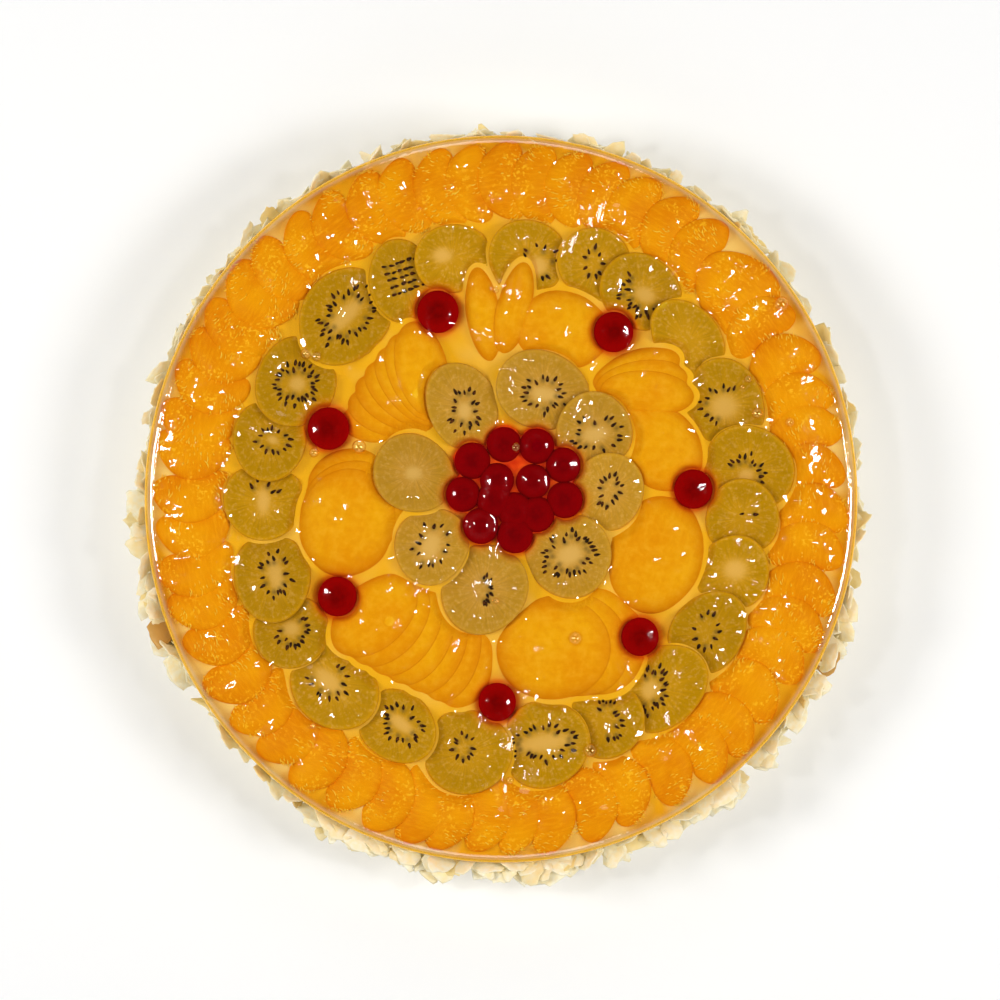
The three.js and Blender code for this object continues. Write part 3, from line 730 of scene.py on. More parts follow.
def whipped_cream():
    """Whipped cream smoothed with a palette knife: matt, ivory at its side, with shallow marks of the
    knife, and golden on top, where jelly has soaked in."""
    material, tree = new_material("whipped_cream")
    place = add_node(tree, COORDINATES, output="Object")
    soft = add_node(tree, NOISE, {"Vector": place, "Scale": every(26.316), "Detail": 2})
    strokes = (every(16.667), every(16.667), every(2.381))
    drawn = add_node(tree, VECTORS, {0: place, 1: strokes}, operation="MULTIPLY")
    knife = add_node(tree, NOISE, {"Vector": drawn, "Scale": 1, "Detail": 2})
    side = laid_over(tree, "#F6E4B0", "#FFF4D2", soft, 0.35, 0.65)
    top = laid_over(tree, "#F7BE22", "#FFE584", soft, 0.42, 0.6)
    on_top = add_node(tree, ATTRIBUTE, output="Fac", attribute_name="under_jelly")
    colour = red_from_cherries(tree, laid_over(tree, side, top, on_top, 0, 1))
    finish_with(tree, colour, 0.55, 0.1, knife, 0.35, 0.5)
    return material


def flaked_almond():
    """Blanched almond cut thin: ivory and waxy, with some flakes yellower and a few toasted."""
    material, tree = new_material("flaked_almond")
    place = add_node(tree, COORDINATES, output="Object")
    shade = add_node(tree, ATTRIBUTE, output="Fac", attribute_name="shade")
    grain = add_node(tree, NOISE, {"Vector": place, "Scale": every(2.381), "Detail": 2})
    colour = laid_over(tree, "#FFEFBE", "#FFFBE6", grain, 0.3, 0.7)
    colour = laid_over(tree, colour, "#F6D87C", shade, 0.7, 0.97, 0.7)
    colour = laid_over(tree, colour, "#C88A2A", shade, 0.985, 0.995, 0.8)
    finish_with(tree, colour, 0.45, 0.4, grain, 0.3, 0.3)
    return material


def kiwi_seed():
    """A kiwi seed: a hard glossy brown-black drop."""
    material, tree = new_material("kiwi_seed_coat")
    place = add_node(tree, COORDINATES, output="Object")
    coat = add_node(tree, NOISE, {"Vector": place, "Scale": every(1.1111), "Detail": 1})
    finish_with(tree, laid_over(tree, "#180A04", "#5A2E12", coat, 0.42, 0.7), 0.4, 0.15)
    return material


def golden_jelly():
    """Jelly deep in the gaps: cloudy gold, and cream coloured where the cream shows through."""
    material, tree = new_material("golden_jelly_over_cream")
    place = add_node(tree, COORDINATES, output="Object")
    soft = add_node(tree, NOISE, {"Vector": place, "Scale": every(26.316), "Detail": 2})
    creamy = add_node(tree, ATTRIBUTE, output="Fac", attribute_name="creamy")
    colour = laid_over(tree, "#F4C42A", "#FBE9A6", soft, 0.44, 0.6, creamy)
    finish_with(tree, red_from_cherries(tree, colour), 0.5, 0.05)
    return material


def cherry_juice():
    """Jelly between the heap's cherries, which has taken their colour: a bright orange red."""
    material, tree = new_material("jelly_red_with_cherry_juice")
    place = add_node(tree, COORDINATES, output="Object")
    cloud = add_node(tree, NOISE, {"Vector": place, "Scale": every(6.25), "Detail": 1})
    finish_with(tree, laid_over(tree, "#D82A0C", "#FF6020", cloud, 0.4, 0.6), 0.3, 0.1)
    return material


def clear_jelly():
    """Clear cake jelly, poured warm and set: a thin mirror over everything, whose small dents flash
    where they face a lamp. It turns amber only at its side, where there is most of it to look through."""
    material, tree = new_material("clear_amber_jelly")
    amber = add_node(tree, ATTRIBUTE, output="Fac", attribute_name="amber")
    place = add_node(tree, COORDINATES, output="Object")
    ripple = add_node(tree, NOISE, {"Vector": place, "Scale": every(3.0303), "Detail": 1})
    mirror = {"Value": amber, "From Min": 0.2, "From Max": 0.45, "To Min": 1, "To Max": 0}
    surface = {
        "Base Color": laid_over(tree, "#FFFFFF", "#FFC224", amber, 0.1, 0.28),
        "Metallic": add_node(tree, RANGE, mirror),
        "Roughness": 0.06,
        "Specular IOR Level": 0.3,
        "Specular Tint": "#FFDC90",
        "Normal": add_node(tree, BUMP, {"Strength": 1.0, "Distance": 0.12 * MM, "Height": ripple}),
    }
    gloss = add_node(tree, SHADER, surface)
    through = add_node(tree, CLEAR, {"Color": "#FFF6DA"})
    at_side = add_node(tree, RANGE, {"Value": amber, "From Min": 0.8, "To Min": 1, "To Max": 0.68})
    share = add_node(tree, RANGE, {"Value": amber, "From Max": 0.5, "To Min": 0.05, "To Max": 0.85})
    share = add_node(tree, MATHS, {0: at_side, 1: share}, operation="MULTIPLY")
    mixed = add_node(tree, MIX_SHADER, {0: share, 1: through, 2: gloss})
    add_node(tree, OUTPUT, {"Surface": mixed}, None)
    return material


def air_in_jelly():
    """The skin of an air bubble: clear, with a bright amber rim where it is seen edge on."""
    material, tree = new_material("air_bubble_skin")
    facing = add_node(tree, "ShaderNodeLayerWeight", {"Blend": 0.35}, "Facing")
    gloss = add_node(tree, SHADER, {"Base Color": "#FFD488", "Metallic": 1.0, "Roughness": 0.08})
    edge_on = {"Value": facing, "From Min": 0.35, "From Max": 0.75, "To Min": 0.2, "To Max": 0.95}
    parts = {0: add_node(tree, RANGE, edge_on), 1: add_node(tree, CLEAR), 2: gloss}
    add_node(tree, OUTPUT, {"Surface": add_node(tree, MIX_SHADER, parts)}, None)
    return material


# Scattered pieces, by Geometry Nodes


def scatter_tree():
    """Puts one of three patterns on every mark, by the mark's turn and size, and realizes them."""
    tree = bpy.data.node_groups.new("scatter_on_marks", "GeometryNodeTree")
    sockets = [("Marks", "Geometry"), ("First", "Object"), ("Second", "Object"), ("Third", "Object")]
    for name, kind in [*sockets, ("Size", "Float"), ("Seed", "Int"), ("Finish", "Material")]:
        tree.interface.new_socket(name=name, in_out="INPUT", socket_type="NodeSocket" + kind)
    tree.interface.new_socket(name="Pieces", in_out="OUTPUT", socket_type="NodeSocketGeometry")
    given = add_node(tree, "NodeGroupInput", output=None)
    kinds = tree.nodes.new("GeometryNodeJoinGeometry")
    for name in ("Third", "Second", "First"):
        copied = {"Object": given[name], "As Instance": True}
        tree.links.new(add_node(tree, "GeometryNodeObjectInfo", copied, "Geometry"), kinds.inputs[0])
    chance, named = "FunctionNodeRandomValue", "GeometryNodeInputNamedAttribute"
    which = add_node(tree, chance, {"Seed": given["Seed"], 4: 0, 5: 2}, 2, data_type="INT")
    shade = add_node(tree, chance, {"Seed": given["Seed"]}, 1, data_type="FLOAT")
    turn = add_node(tree, named, {"Name": "turn"}, data_type="FLOAT_VECTOR")
    size = add_node(tree, named, {"Name": "size"}, data_type="FLOAT")
    copies = {
        "Points": given["Marks"],
        "Instance": kinds.outputs[0],
        "Pick Instance": True,
        "Instance Index": which,
        "Rotation": turn,
        "Scale": add_node(tree, MATHS, {0: size, 1: given["Size"]}, operation="MULTIPLY"),
    }
    placed = add_node(tree, "GeometryNodeInstanceOnPoints", copies)
    shaded = {"Geometry": placed, "Name": "shade", "Value": shade}
    store = "GeometryNodeStoreNamedAttribute"
    kept = add_node(tree, store, shaded, data_type="FLOAT", domain="INSTANCE")
    painted = {
        "Geometry": add_node(tree, "GeometryNodeRealizeInstances", {0: kept}),
        "Material": given["Finish"],
    }
    add_node(tree, "NodeGroupOutput", {"Pieces": add_node(tree, "GeometryNodeSetMaterial", painted)}, None)
    return tree


def scattered(name, patterns, marks, material, seed):
    """Real pieces on marks: where each is in torte millimetres, its turn and its size."""
    places, turns, sizes = marks
    mesh = bpy.data.meshes.new(name)
    mesh.from_pydata(to_frame(places).tolist(), [], [])
    mesh.attributes.new("turn", "FLOAT_VECTOR", "POINT").data.foreach_set("vector", turns.ravel())
    mesh.attributes.new("size", "FLOAT", "POINT").data.foreach_set("value", sizes)
    piece = bpy.data.objects.new(name, mesh)
    bpy.context.scene.collection.objects.link(piece)
    given = dict(zip(("First", "Second", "Third"), patterns), Size=1.0, Seed=seed, Finish=material)
    scatter = piece.modifiers.new("scatter", "NODES")
    scatter.node_group = SCATTER
    for socket in SCATTER.interface.items_tree:
        if socket.name in given:
            scatter[socket.identifier] = given[socket.name]
    graph = bpy.context.evaluated_depsgraph_get()
    made = piece.evaluated_get(graph)
    real = bpy.data.meshes.new_from_object(made, preserve_all_data_layers=True, depsgraph=graph)
    piece.modifiers.clear()
    piece.data = real
    for one in set(patterns):
        bpy.data.objects.remove(one)
    real.name = name
    real.polygons.foreach_set("use_smooth", [True] * len(real.polygons))
    belongs(piece)


def pattern(name, skin):
    """A piece that is only copied: in metres about zero."""
    return bpy.data.objects.new(name, closed_mesh(name, skin.points * MM, skin.faces))


def almond_pattern(name, curl, twist, point, ragged):
    """A flake 17 mm long and 11 mm wide, chipped round its edge and curled, lying in XY."""
    long, wide, thick = 17.0, 11.0, 0.8
    steps = 18
    unit = circle(steps)
    a = np.linspace(0, 2 * math.pi, steps, endpoint=False)
    chips = np.ones(steps)
    for times_round, deep, shift in [(2, 0.08, 1), (3, 0.1, 2), (7, 0.07, -1), (11, 0.05, 3)]:
        chips += deep * np.sin(times_round * a + shift * ragged)
    outline = unit * [long / 2, wide / 2] * chips[:, None]
    outline[:, 1] *= 1 - point * unit[:, 0]
    rings = []
    for reach, side in [(0.93, 1), (1.0, 0), (0.93, -1)]:
        xy = outline * reach
        bow = curl * (xy[:, 0] / long * 2) ** 2 + twist * xy[:, 0] * xy[:, 1] / (long * wide) * 4
        ripple = 0.35 * np.sin(xy[:, 0] * 0.9 + ragged) * (xy[:, 1] / wide * 2)
        rings.append(np.column_stack([xy, bow + ripple + side * thick / 2]))
    return pattern(name, skin_over(np.array(rings), [0, 0, thick / 2], [0, 0, -thick / 2]))


def seed_pattern(name, long, wide, thick):
    """A kiwi seed: a flattened drop with its point outwards, along X."""
    tips = np.linspace(0, math.pi, 7)[1:-1]
    rings = []
    for tip in tips:
        ring = circle(8) * math.sin(tip) * (1 - 0.35 * math.cos(tip))
        rings.append(np.column_stack([np.full(8, math.cos(tip) * long / 2), ring * [wide / 2, thick / 2]]))
    return pattern(name, skin_over(np.array(rings), [long / 2, 0, 0], [-long / 2, 0, 0]))


def thread_pattern(name, long, wide, bow):
    """A thread of pulp, pointed at both ends and bowed, along X."""
    rings = []
    for share in (-0.6, 0.0, 0.6):
        ring = circle(4) * wide / 2 * (1 - share**2)
        middle = [share * long / 2, bow * (1 - share**2), 0]
        rings.append(np.column_stack([np.zeros(4), ring]) + middle)
    return pattern(name, skin_over(np.array(rings), [-long / 2, 0, 0], [long / 2, 0, 0]))


def bubble_pattern(name):
    tips = np.linspace(0, math.pi, 14)[1:-1]
    rings = [np.column_stack([circle(24) * math.sin(t), np.full(24, math.cos(t))]) for t in tips]
    return pattern(name, skin_over(np.array(rings), [0, 0, 1], [0, 0, -1]))


def flake_marks(draw):
    """Where the flakes stick to the cream's side. They lie thickest at the left and lower right. Each
    has its lower part in the cream and leans out, and most of all those at the top edge."""
    places, turns, sizes = [], [], []
    side = TORTE_RADIUS - CREAM_INSET
    fewer_elsewhere, at_top_edge = 0.25, 0.42  # shares of the flakes
    hangs, sticks_out = 9.2, 5.2  # how far a flake of size 1 reaches down, and out when it leans
    while len(places) < FLAKES:
        direction = draw.uniform(0, 360)
        thick = any(first < direction < last for first, last in FLAKE_PATCHES)
        if not thick and draw.uniform() < fewer_elsewhere:
            continue
        size = draw.uniform(0.5, 0.9) + (0.14 if thick else 0)
        at_edge = draw.uniform() < at_top_edge
        height = draw.uniform(30, CREAM_TOP - 2) if at_edge else draw.uniform(hangs * size, 33)
        least, most = (0.5, 1.3) if at_edge and thick else (0.0, 0.75 if at_edge else 0.45)
        lean = draw.uniform(least, most)
        out = side - 0.2 + sticks_out * math.sin(lean) * draw.uniform(0.7, 1.05)
        a = math.radians(direction)
        c, s = math.cos(a), math.sin(a)
        turn = Matrix(((-s, 0.0, c), (c, 0.0, s), (0.0, 1.0, 0.0))) @ Matrix.Rotation(lean, 3, "X")
        turn = turn @ Matrix.Rotation(draw.uniform(-0.45, 0.45), 3, "Y")
        turn = turn @ Matrix.Rotation(draw.uniform(0, 2 * math.pi), 3, "Z")
        places.append([out * c, out * s, height])
        turns.append(list(turn.to_euler()))
        sizes.append(size)
    return np.array(places), np.array(turns), np.array(sizes)


# Cream and jelly


def golden_jelly_skin(heights):
    """The deep jelly in the gaps between the fruit, up to a little below the edges beside them."""
    cells, inset, depth = 170, 0.35, 0.1
    rise, sunk, least = 0.72, 0.9, 0.15
    creamy_from, creamy_over, creamy_least = 116, 12, 0.22
    flat, quads, loop = round_grid(cells)
    reach = TORTE_RADIUS - inset
    xy = flat * reach
    held = np.clip((reach - np.linalg.norm(xy, axis=1)) / 4, 0, 1)
    level = FRUIT_FLOOR + held * np.maximum(rise * (heights(xy) - FRUIT_FLOOR) - sunk, 0.0) + least
    steps = len(loop)
    below = np.column_stack([xy[loop], np.full(steps, FRUIT_FLOOR - depth)])
    after = len(xy) + np.arange(steps)
    band = np.stack([loop, after, np.roll(after, -1), np.roll(loop, -1)], axis=-1)
    points = np.vstack([np.column_stack([xy, level]), below, [0, 0, FRUIT_FLOOR - depth]])
    skin = Skin(points, quads.tolist() + band.tolist() + fan_below(after, len(points) - 1))
    away = np.linalg.norm(skin.points[:, :2], axis=1)
    creamy = np.clip((away - creamy_from) / creamy_over, creamy_least, 1)
    skin.values = {"stain": 0.95 * stain_at(skin.points[:, :2]), "creamy": creamy}
    return skin


def cream_skin():
    """The cream-coated cake: a level top, and a side drawn round with a palette knife."""
    side = TORTE_RADIUS - CREAM_INSET
    steps = 360
    top_rings = np.linspace(0.01, 0.985, 90)
    profile = [(side * share, CREAM_TOP) for share in top_rings]
    profile += [(side - 0.9, CREAM_TOP - 0.2), (side - 0.25, CREAM_TOP - 0.9)]
    profile += [(side, z) for z in np.linspace(CREAM_TOP - 2, 2.0, 24)]
    profile += [(side - 0.5, 0.6), (side - 1.6, 0.0), (side * 0.5, 0.0)]
    a = np.linspace(0, 2 * math.pi, steps, endpoint=False)
    rings = []
    for radius, height in profile:
        on_side = 1.0 if radius > side - 1.2 and 1 < height < CREAM_TOP - 0.5 else 0.0
        wave = 0.35 * np.sin(5 * a + height / 9) + 0.25 * np.sin(17 * a - height / 5 + 1)
        r = radius - on_side * (0.6 + wave)
        rings.append(np.column_stack([r * np.cos(a), r * np.sin(a), np.full(steps, height)]))
    skin = skin_over(np.array(rings), [0, 0, CREAM_TOP], [0, 0, 0])
    on_top = (skin.points[:, 2] > CREAM_TOP - 0.5).astype(float)
    skin.values = {"stain": on_top * stain_at(skin.points[:, :2], 3.0), "under_jelly": on_top}
    return skin


def heap_jelly_skin():
    """Jelly coloured by the heap's cherries, which lies low in the gaps between them."""
    middle = np.mean([[one.x, one.y] for one in heap], axis=0)
    steps, high, past = 120, 3.3, 0.8
    directions = circle(steps)
    reaches = np.arange(2.0, 32.0, 0.5)
    places = middle + reaches[:, None, None] * directions[None]
    away = [np.linalg.norm(places - [one.x, one.y], axis=-1) - one.long for one in heap]
    inside = np.min(away, axis=0) < 0
    edge = np.array([reaches[np.flatnonzero(inside[:, k]).max()] for k in range(steps)]) + past
    rings = []
    for share, level in [(0.3, 1), (0.6, 1), (0.85, 0.97), (0.96, 0.8), (1.0, 0.5), (1.0, 0.0)]:
        xy = middle + edge[:, None] * share * directions
        rings.append(np.column_stack([xy, np.full(steps, FRUIT_FLOOR + high * level)]))
    return skin_over(np.array(rings), [*middle, FRUIT_FLOOR + high], [*middle, FRUIT_FLOOR])


def fruit_relief(skins, smooth):
    """A function that gives the fruit's height at a place, smoothed over so many millimetres."""
    cell, half, window = 1.0, 146, 8
    size = 2 * half
    grid = np.full((size, size), FRUIT_FLOOR)
    for one in skins:
        at = np.clip(np.round(one.points[:, :2] / cell).astype(int) + half, 0, size - 1)
        np.maximum.at(grid, (at[:, 0], at[:, 1]), one.points[:, 2])
    for axis in (0, 1):
        grid = np.maximum(grid, np.maximum(np.roll(grid, 1, axis), np.roll(grid, -1, axis)))
    spread = np.exp(-(np.arange(-window, window + 1) ** 2) / (2 * smooth**2))
    spread /= spread.sum()
    for axis in (0, 1):
        grid = sum(w * np.roll(grid, k - window, axis) for k, w in enumerate(spread))

    def height(xy):
        at = np.clip(xy / cell + half, 0, size - 2)
        low = at.astype(int)
        x, y = (at - low)[..., 0], (at - low)[..., 1]
        i, j = low[..., 0], low[..., 1]
        near = grid[i, j] * (1 - y) + grid[i, j + 1] * y
        far = grid[i + 1, j] * (1 - y) + grid[i + 1, j + 1] * y
        return near * (1 - x) + far * x

    return height


def round_grid(cells):
    """Points spread evenly over a disc of radius 1, in rows, and the loop that its border makes."""
    side = np.linspace(-1, 1, cells + 1)
    a, b = np.meshgrid(side, side, indexing="ij")
    wide = np.abs(a) > np.abs(b)
    safe_a, safe_b = np.where(a == 0, 1, a), np.where(b == 0, 1, b)
    reach = np.where(wide, a, b)
    turn = np.where(wide, math.pi / 4 * b / safe_a, math.pi / 2 - math.pi / 4 * a / safe_b)
    points = np.stack([reach * np.cos(turn), reach * np.sin(turn)], axis=-1)
    at = np.arange((cells + 1) ** 2).reshape(cells + 1, cells + 1)
    loop = np.concatenate([at[:-1, 0], at[-1, :-1], at[:0:-1, -1], at[0, :0:-1]])
    quads = np.stack([at[:-1, :-1], at[1:, :-1], at[1:, 1:], at[:-1, 1:]], axis=-1).reshape(-1, 4)
    return points.reshape(-1, 2), quads, loop


def fan_below(loop, middle):
    """Faces that close a loop of points by one point at its middle."""
    return np.stack([loop, np.full(len(loop), middle), np.roll(loop, -1)], axis=-1).tolist()


def jelly_waves(xy, draw):
    """The set jelly's skin: long shallow waves, and small dents that lie in patches."""
    waves, flatness, beside_cherry, beside_rim = 14, 0.0022, 9, 5
    height = np.zeros(len(xy))
    for _ in range(waves):
        turn, length = draw.uniform(0, 2 * math.pi), draw.uniform(9, 30)
        along = xy @ [math.cos(turn), math.sin(turn)]
        height += flatness * length * np.sin(2 * math.pi * along / length + draw.uniform(0, 6.28))
    cherries = np.array([[one.x, one.y] for one in single_cherries + heap])
    made = 0
    while made < DENTS:
        x, y, spread = DENT_PATCHES[draw.integers(len(DENT_PATCHES))]
        if draw.uniform() < 0.6:
            place = draw.normal((x, y), spread)
        else:
            place = draw.uniform(-TORTE_RADIUS, TORTE_RADIUS, 2)
        near_cherry = np.linalg.norm(cherries - place, axis=1).min() < beside_cherry
        if np.linalg.norm(place) > TORTE_RADIUS - beside_rim or near_cherry:
            continue
        reach = draw.uniform(1.0, 1.5)
        stretch = draw.choice([1.0, 1.0, 1.0, 2.6])
        flatter = 0.5 - 0.34 * abs(place[0]) / TORTE_RADIUS
        steep = flatter * draw.uniform(0.55, 1.1) * draw.choice([-1, 1])
        near = np.flatnonzero(np.abs(xy - place).max(axis=1) < 3 * reach * stretch)
        local = turned(xy[near] - place, -math.degrees(math.atan2(place[1], place[0])))
        away = (local[:, 0] / stretch) ** 2 + local[:, 1] ** 2
        height[near] += steep * reach * np.exp(-away / (2 * reach**2))
        made += 1
    return height


def jelly_skin(relief):
    """The jelly over all the fruit: nearly level, swelling over what reaches close to its surface, with
    a round shoulder and an upright side."""
    film, shoulder, cells, sharp = 0.55, 4.0, 286, 3
    level_top, bottom = JELLY_TOP - 0.25, FRUIT_FLOOR - 0.2
    inner = TORTE_RADIUS - shoulder
    flat, quads, loop = round_grid(cells)
    xy = flat * inner
    swell = relief(xy) + film - JELLY_TOP
    lift = np.log1p(np.exp(np.clip(swell * sharp, -30, 30))) / sharp
    held = np.clip((inner - np.linalg.norm(xy, axis=1)) / 6, 0, 1)
    level = level_top + (lift + jelly_waves(xy, np.random.default_rng(31))) * held
    points, amber = [np.column_stack([xy, level])], [np.zeros(len(xy))]
    steps = len(loop)
    rim = flat[loop]
    rings = []
    for share in np.linspace(0.15, 1, 6):
        turn = share * math.pi / 2
        radius = inner + shoulder * math.sin(turn)
        rings.append((radius, level_top - shoulder * (1 - math.cos(turn)), 0.8 * share**1.5))
    rings += [(TORTE_RADIUS, height, 1.0) for height in (JELLY_TOP - 5, FRUIT_FLOOR)]
    rings.append((inner, bottom, 0.0))
    faces = quads.tolist()
    before, start = loop, len(xy)
    for radius, height, tint in rings:
        points.append(np.column_stack([radius * rim, np.full(steps, height)]))
        amber.append(np.full(steps, tint))
        after = start + np.arange(steps)
        band = np.stack([before, after, np.roll(after, -1), np.roll(before, -1)], axis=-1)
        faces += band.tolist()
        before, start = after, start + steps
    points.append([[0, 0, bottom]])
    amber.append([0.0])
    skin = Skin(np.vstack(points), faces + fan_below(before, start))
    skin.values = {"amber": np.concatenate(amber)}
    return skin


# The fruit, from the uppermost down

CREAM, JELLY = whipped_cream(), clear_jelly()
PEACH, MANDARIN = tinned_peach(), mandarin_pulp()
OUTER_FLESH = kiwi_flesh("kiwi_flesh_outer", "#E2BC70", "#C69A1A", "#B68E04", "#D2A20A")
INNER_FLESH = kiwi_flesh("kiwi_flesh_inner", "#E2C07E", "#C89E4A", "#BC9430", "#D0A636")
CHERRY = candied_cherry("candied_cherry", "#A20202", "#720000")
CLUSTER_CHERRY = candied_cherry("candied_cherry_in_heap", "#98000A", "#720008")
SCATTER = scatter_tree()

single_cherries = []
for direction, distance, radius in CHERRIES:
    x, y = turned(np.array([distance, 0.0]), direction)
    single_cherries.append(Oval(x, y, 0, radius, radius, CHERRY_SUNK, CHERRY_SLOPE))
heap = []
for k, (x, y) in enumerate(CLUSTER):
    radius = CLUSTER_RADIUS * (1 + 0.03 * uneven(k, 3))
    heap.append(Oval(x, y, 0, radius, radius, CHERRY_SUNK, CHERRY_SLOPE))

all_skins = []
for k, one in enumerate(single_cherries):
    skin = cherry_skin(one, CHERRY_HIGH, k)
    all_skins.append(skin)
    add_piece(f"halved_cherry_{k + 1}", skin, CHERRY, [f"cherry_{k + 1}"])
heap_skins = [cherry_skin(one, CHERRY_HIGH + 0.5 * uneven(k, 4), k) for k, one in enumerate(heap)]
all_skins += heap_skins
add_piece("cherries_in_the_middle", joined(heap_skins), CLUSTER_CHERRY, ["cherry_cluster"])

add_piece("red_jelly_in_the_heap", heap_jelly_skin(), cherry_juice())

draw = np.random.default_rng(5)
seeds = []
inner_kiwis = [KiwiSlice(row, INNER_KIWI, k) for k, row in enumerate(INNER_KIWIS)]
for k, kiwi in enumerate(inner_kiwis):
    kiwi.uppers = heap
    skin, marks = kiwi_skin(kiwi, draw)
    seeds.append(marks)
    all_skins.append(skin)
    add_piece(f"inner_kiwi_slice_{k + 1}", skin, INNER_FLESH, [f"kiwi_inner_{k + 1}"])

peach_outlines = []
for k, row in enumerate(PEACHES):
    skins = peach_skins(row, k, single_cherries + inner_kiwis)
    all_skins += skins
    peach_outlines += [oval for oval, _, _ in peach_slices(row)]
    add_piece(f"peach_fan_{k + 1}", joined(skins), PEACH, [f"peach_{k + 1}"])

outer_kiwis = [KiwiSlice(row, OUTER_KIWI, k + len(INNER_KIWIS)) for k, row in enumerate(OUTER_KIWIS)]
for k, kiwi in enumerate(outer_kiwis):
    kiwi.uppers = single_cherries + peach_outlines
    skin, marks = kiwi_skin(kiwi, draw)
    seeds.append(marks)
    all_skins.append(skin)
    add_piece(f"outer_kiwi_slice_{k + 1:02d}", skin, OUTER_FLESH, [f"kiwi_outer_{k + 1:02d}"])

laid = 0
threads = []
for k, run in enumerate(MANDARIN_RUNS):
    skins, reaches = mandarin_run(run, laid, outer_kiwis)
    threads += [thread_marks(skin, reach, draw) for skin, reach in zip(skins, reaches)]
    laid += run[2]
    all_skins += skins
    name, solid = f"mandarin_segments_{k + 1:02d}", f"mandarins_{k + 1:02d}"
    add_piece(name, joined(skins), MANDARIN, [solid])

thread_patterns = [thread_pattern(f"thread_{k}", *size) for k, size in enumerate(THREAD_SIZES)]
thread_data = [np.concatenate(parts) for parts in zip(*threads)]
scattered("torn_pulp_threads", thread_patterns, thread_data, pulp_thread(), 21)

seed_patterns = [seed_pattern(f"seed_{k}", *size) for k, size in enumerate(SEED_SIZES)]
seed_data = [np.concatenate(parts) for parts in zip(*seeds)]
scattered("kiwi_seeds", seed_patterns, seed_data, kiwi_seed(), 3)

add_piece("cream_coat", cream_skin(), CREAM, ["cream_and_almonds"])
flake_patterns = [
    almond_pattern("flake_0", 1.6, 0.9, 0.2, 0.4),
    almond_pattern("flake_1", -1.2, 1.3, 0.32, 1.9),
    almond_pattern("flake_2", 0.6, -1.7, 0.1, 3.7),
]
flakes = flake_marks(np.random.default_rng(12))
scattered("almond_flakes", flake_patterns, flakes, flaked_almond(), 8)

sliced_fruit = all_skins[len(CHERRIES) + len(CLUSTER) :]
golden_skin = golden_jelly_skin(fruit_relief(sliced_fruit, 2.6))
add_piece("golden_jelly_in_the_gaps", golden_skin, golden_jelly())
relief = fruit_relief(all_skins, 1.6)
add_piece("clear_jelly", jelly_skin(relief), JELLY, ["jelly_rim"])
bubble_at = np.array(AIR_BUBBLES)
bubble_level = np.maximum(relief(bubble_at[:, :2]) + 0.5, JELLY_TOP) - bubble_at[:, 2] * 0.55
centres = np.column_stack([bubble_at[:, :2], bubble_level])
bubbles = (centres, 0 * centres, bubble_at[:, 2])
scattered("air_bubbles", [bubble_pattern("bubble")] * 3, bubbles, air_in_jelly(), 1)

# Floor, lights and camera

# Each lamp's azimuth, elevation, distance, width, height and power
LAMPS = {
    "left_softbox": (178, 50, 1.3, 0.34, 0.34, 5.5),
    "right_softbox": (352, 50, 1.3, 0.34, 0.34, 5.5),
    "front_softbox": (268, 44, 1.5, 0.8, 0.6, 1.8),
    "back_softbox": (88, 44, 1.5, 0.8, 0.6, 1.8),
    "left_glint_lamp": (172, 70, 1.25, 0.08, 0.11, 1.25),
    "right_glint_lamp": (6, 70, 1.25, 0.08, 0.11, 1.25),
}


def add_lamp(name, azimuth, elevation, distance, width, height, power):
    """A flat white lamp that looks at the torte's middle. Azimuth 0 is +X and 90 is +Y."""
    data = bpy.data.lights.new(name, "AREA")
    data.shape = "RECTANGLE"
    data.size, data.size_y = width, height
    data.energy = power
    lamp = bpy.data.objects.new(name, data)
    a, e = math.radians(azimuth), math.radians(elevation)
    to_lamp = Matrix.Rotation(a, 3, "Z") @ Matrix.Rotation(-e, 3, "Y") @ Matrix.Identity(3).col[0]
    lamp.location = to_lamp * distance
    lamp.rotation_euler = to_lamp.to_track_quat("Z", "Y").to_euler()
    bpy.context.scene.collection.objects.link(lamp)


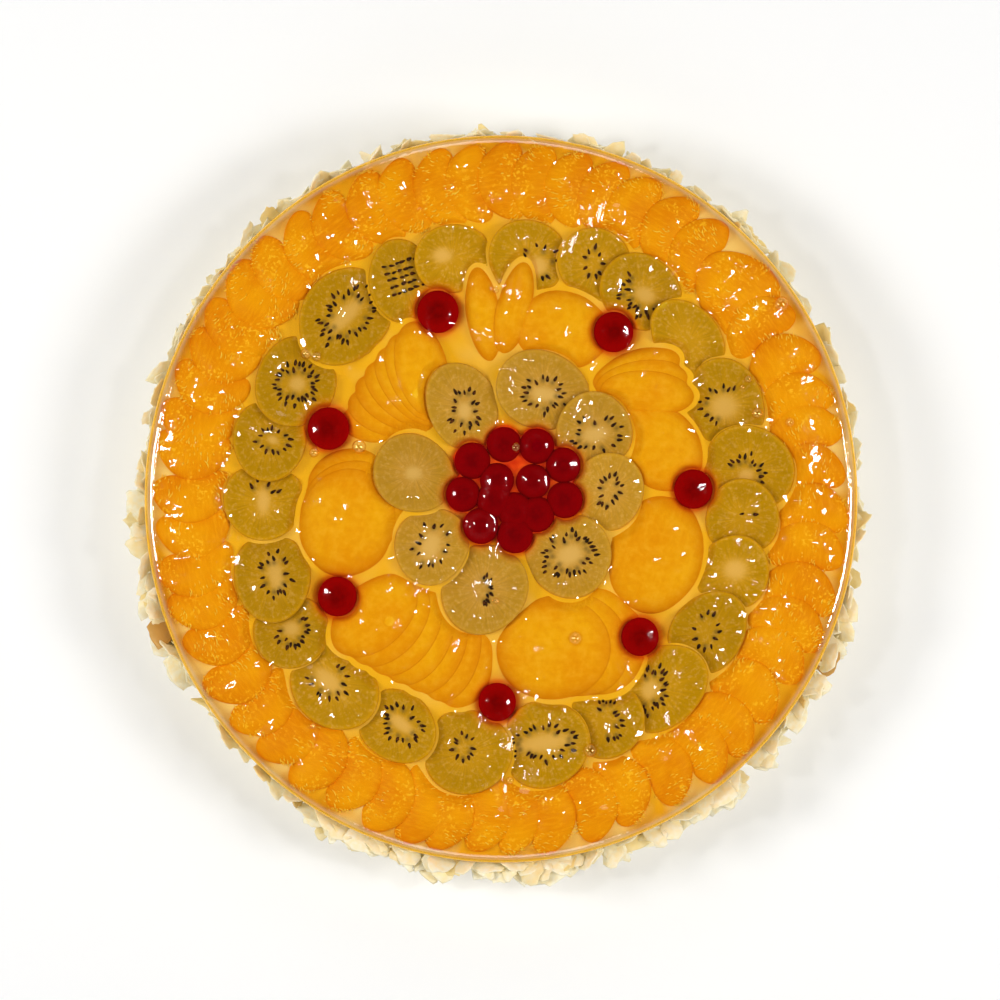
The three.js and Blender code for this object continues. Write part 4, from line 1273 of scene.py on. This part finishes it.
def photo_floor():
    """A wide pale floor, which isn't part of the torte."""
    material, tree = new_material("pale_floor")
    place = add_node(tree, COORDINATES, output="Object")
    cloud = add_node(tree, NOISE, {"Vector": place, "Scale": every(333.33), "Detail": 2})
    finish_with(tree, laid_over(tree, "#FCFCFC", "#FFFFFF", cloud, 0, 1), 0.9, 0.1)
    mesh = bpy.data.meshes.new("pale_floor")
    reach = 6.0
    corners = [(-reach, -reach, 0), (reach, -reach, 0), (reach, reach, 0), (-reach, reach, 0)]
    mesh.from_pydata(corners, [], [(0, 1, 2, 3)])
    mesh.materials.append(material)
    floor = bpy.data.objects.new("pale_floor", mesh)
    bpy.context.scene.collection.objects.link(floor)


def studio_light():
    """A pale room with a dark ceiling, so that the jelly mirrors little but the lamps."""
    world = bpy.data.worlds.new("studio")
    world.use_nodes = True
    tree = world.node_tree
    tree.nodes.clear()
    up = add_node(tree, COORDINATES, output="Generated")
    height = add_node(tree, "ShaderNodeSeparateXYZ", {0: up}, 2)
    dimmed = {"Value": height, "From Min": 0.05, "From Max": 0.95, "To Min": 0.84, "To Max": 0.02}
    shone = {"Color": "#FFFEFB", "Strength": add_node(tree, RANGE, dimmed)}
    light = add_node(tree, "ShaderNodeBackground", shone)
    add_node(tree, "ShaderNodeOutputWorld", {"Surface": light}, None)
    bpy.context.scene.world = world


photo_floor()
for name, setting in LAMPS.items():
    add_lamp(name, *setting)
studio_light()
bpy.context.scene.view_settings.view_transform = "Standard"

# The camera looks straight down. At the jelly's top the picture is 387.6 mm wide.
SENSOR, CAMERA_ABOVE, PICTURE_WIDE = 36.0, 1.5, 0.3876
CAMERA_ASIDE = 0.0004  # the torte lies this far off the picture's middle, to the right and up
camera_data = bpy.data.cameras.new("camera")
camera_data.sensor_width = SENSOR
camera_data.lens = SENSOR * CAMERA_ABOVE / PICTURE_WIDE
camera = bpy.data.objects.new("camera", camera_data)
bpy.context.scene.collection.objects.link(camera)
camera.location = (*(AXIS[:2] * MM - CAMERA_ASIDE), JELLY_TOP * MM + CAMERA_ABOVE)
bpy.context.scene.camera = camera
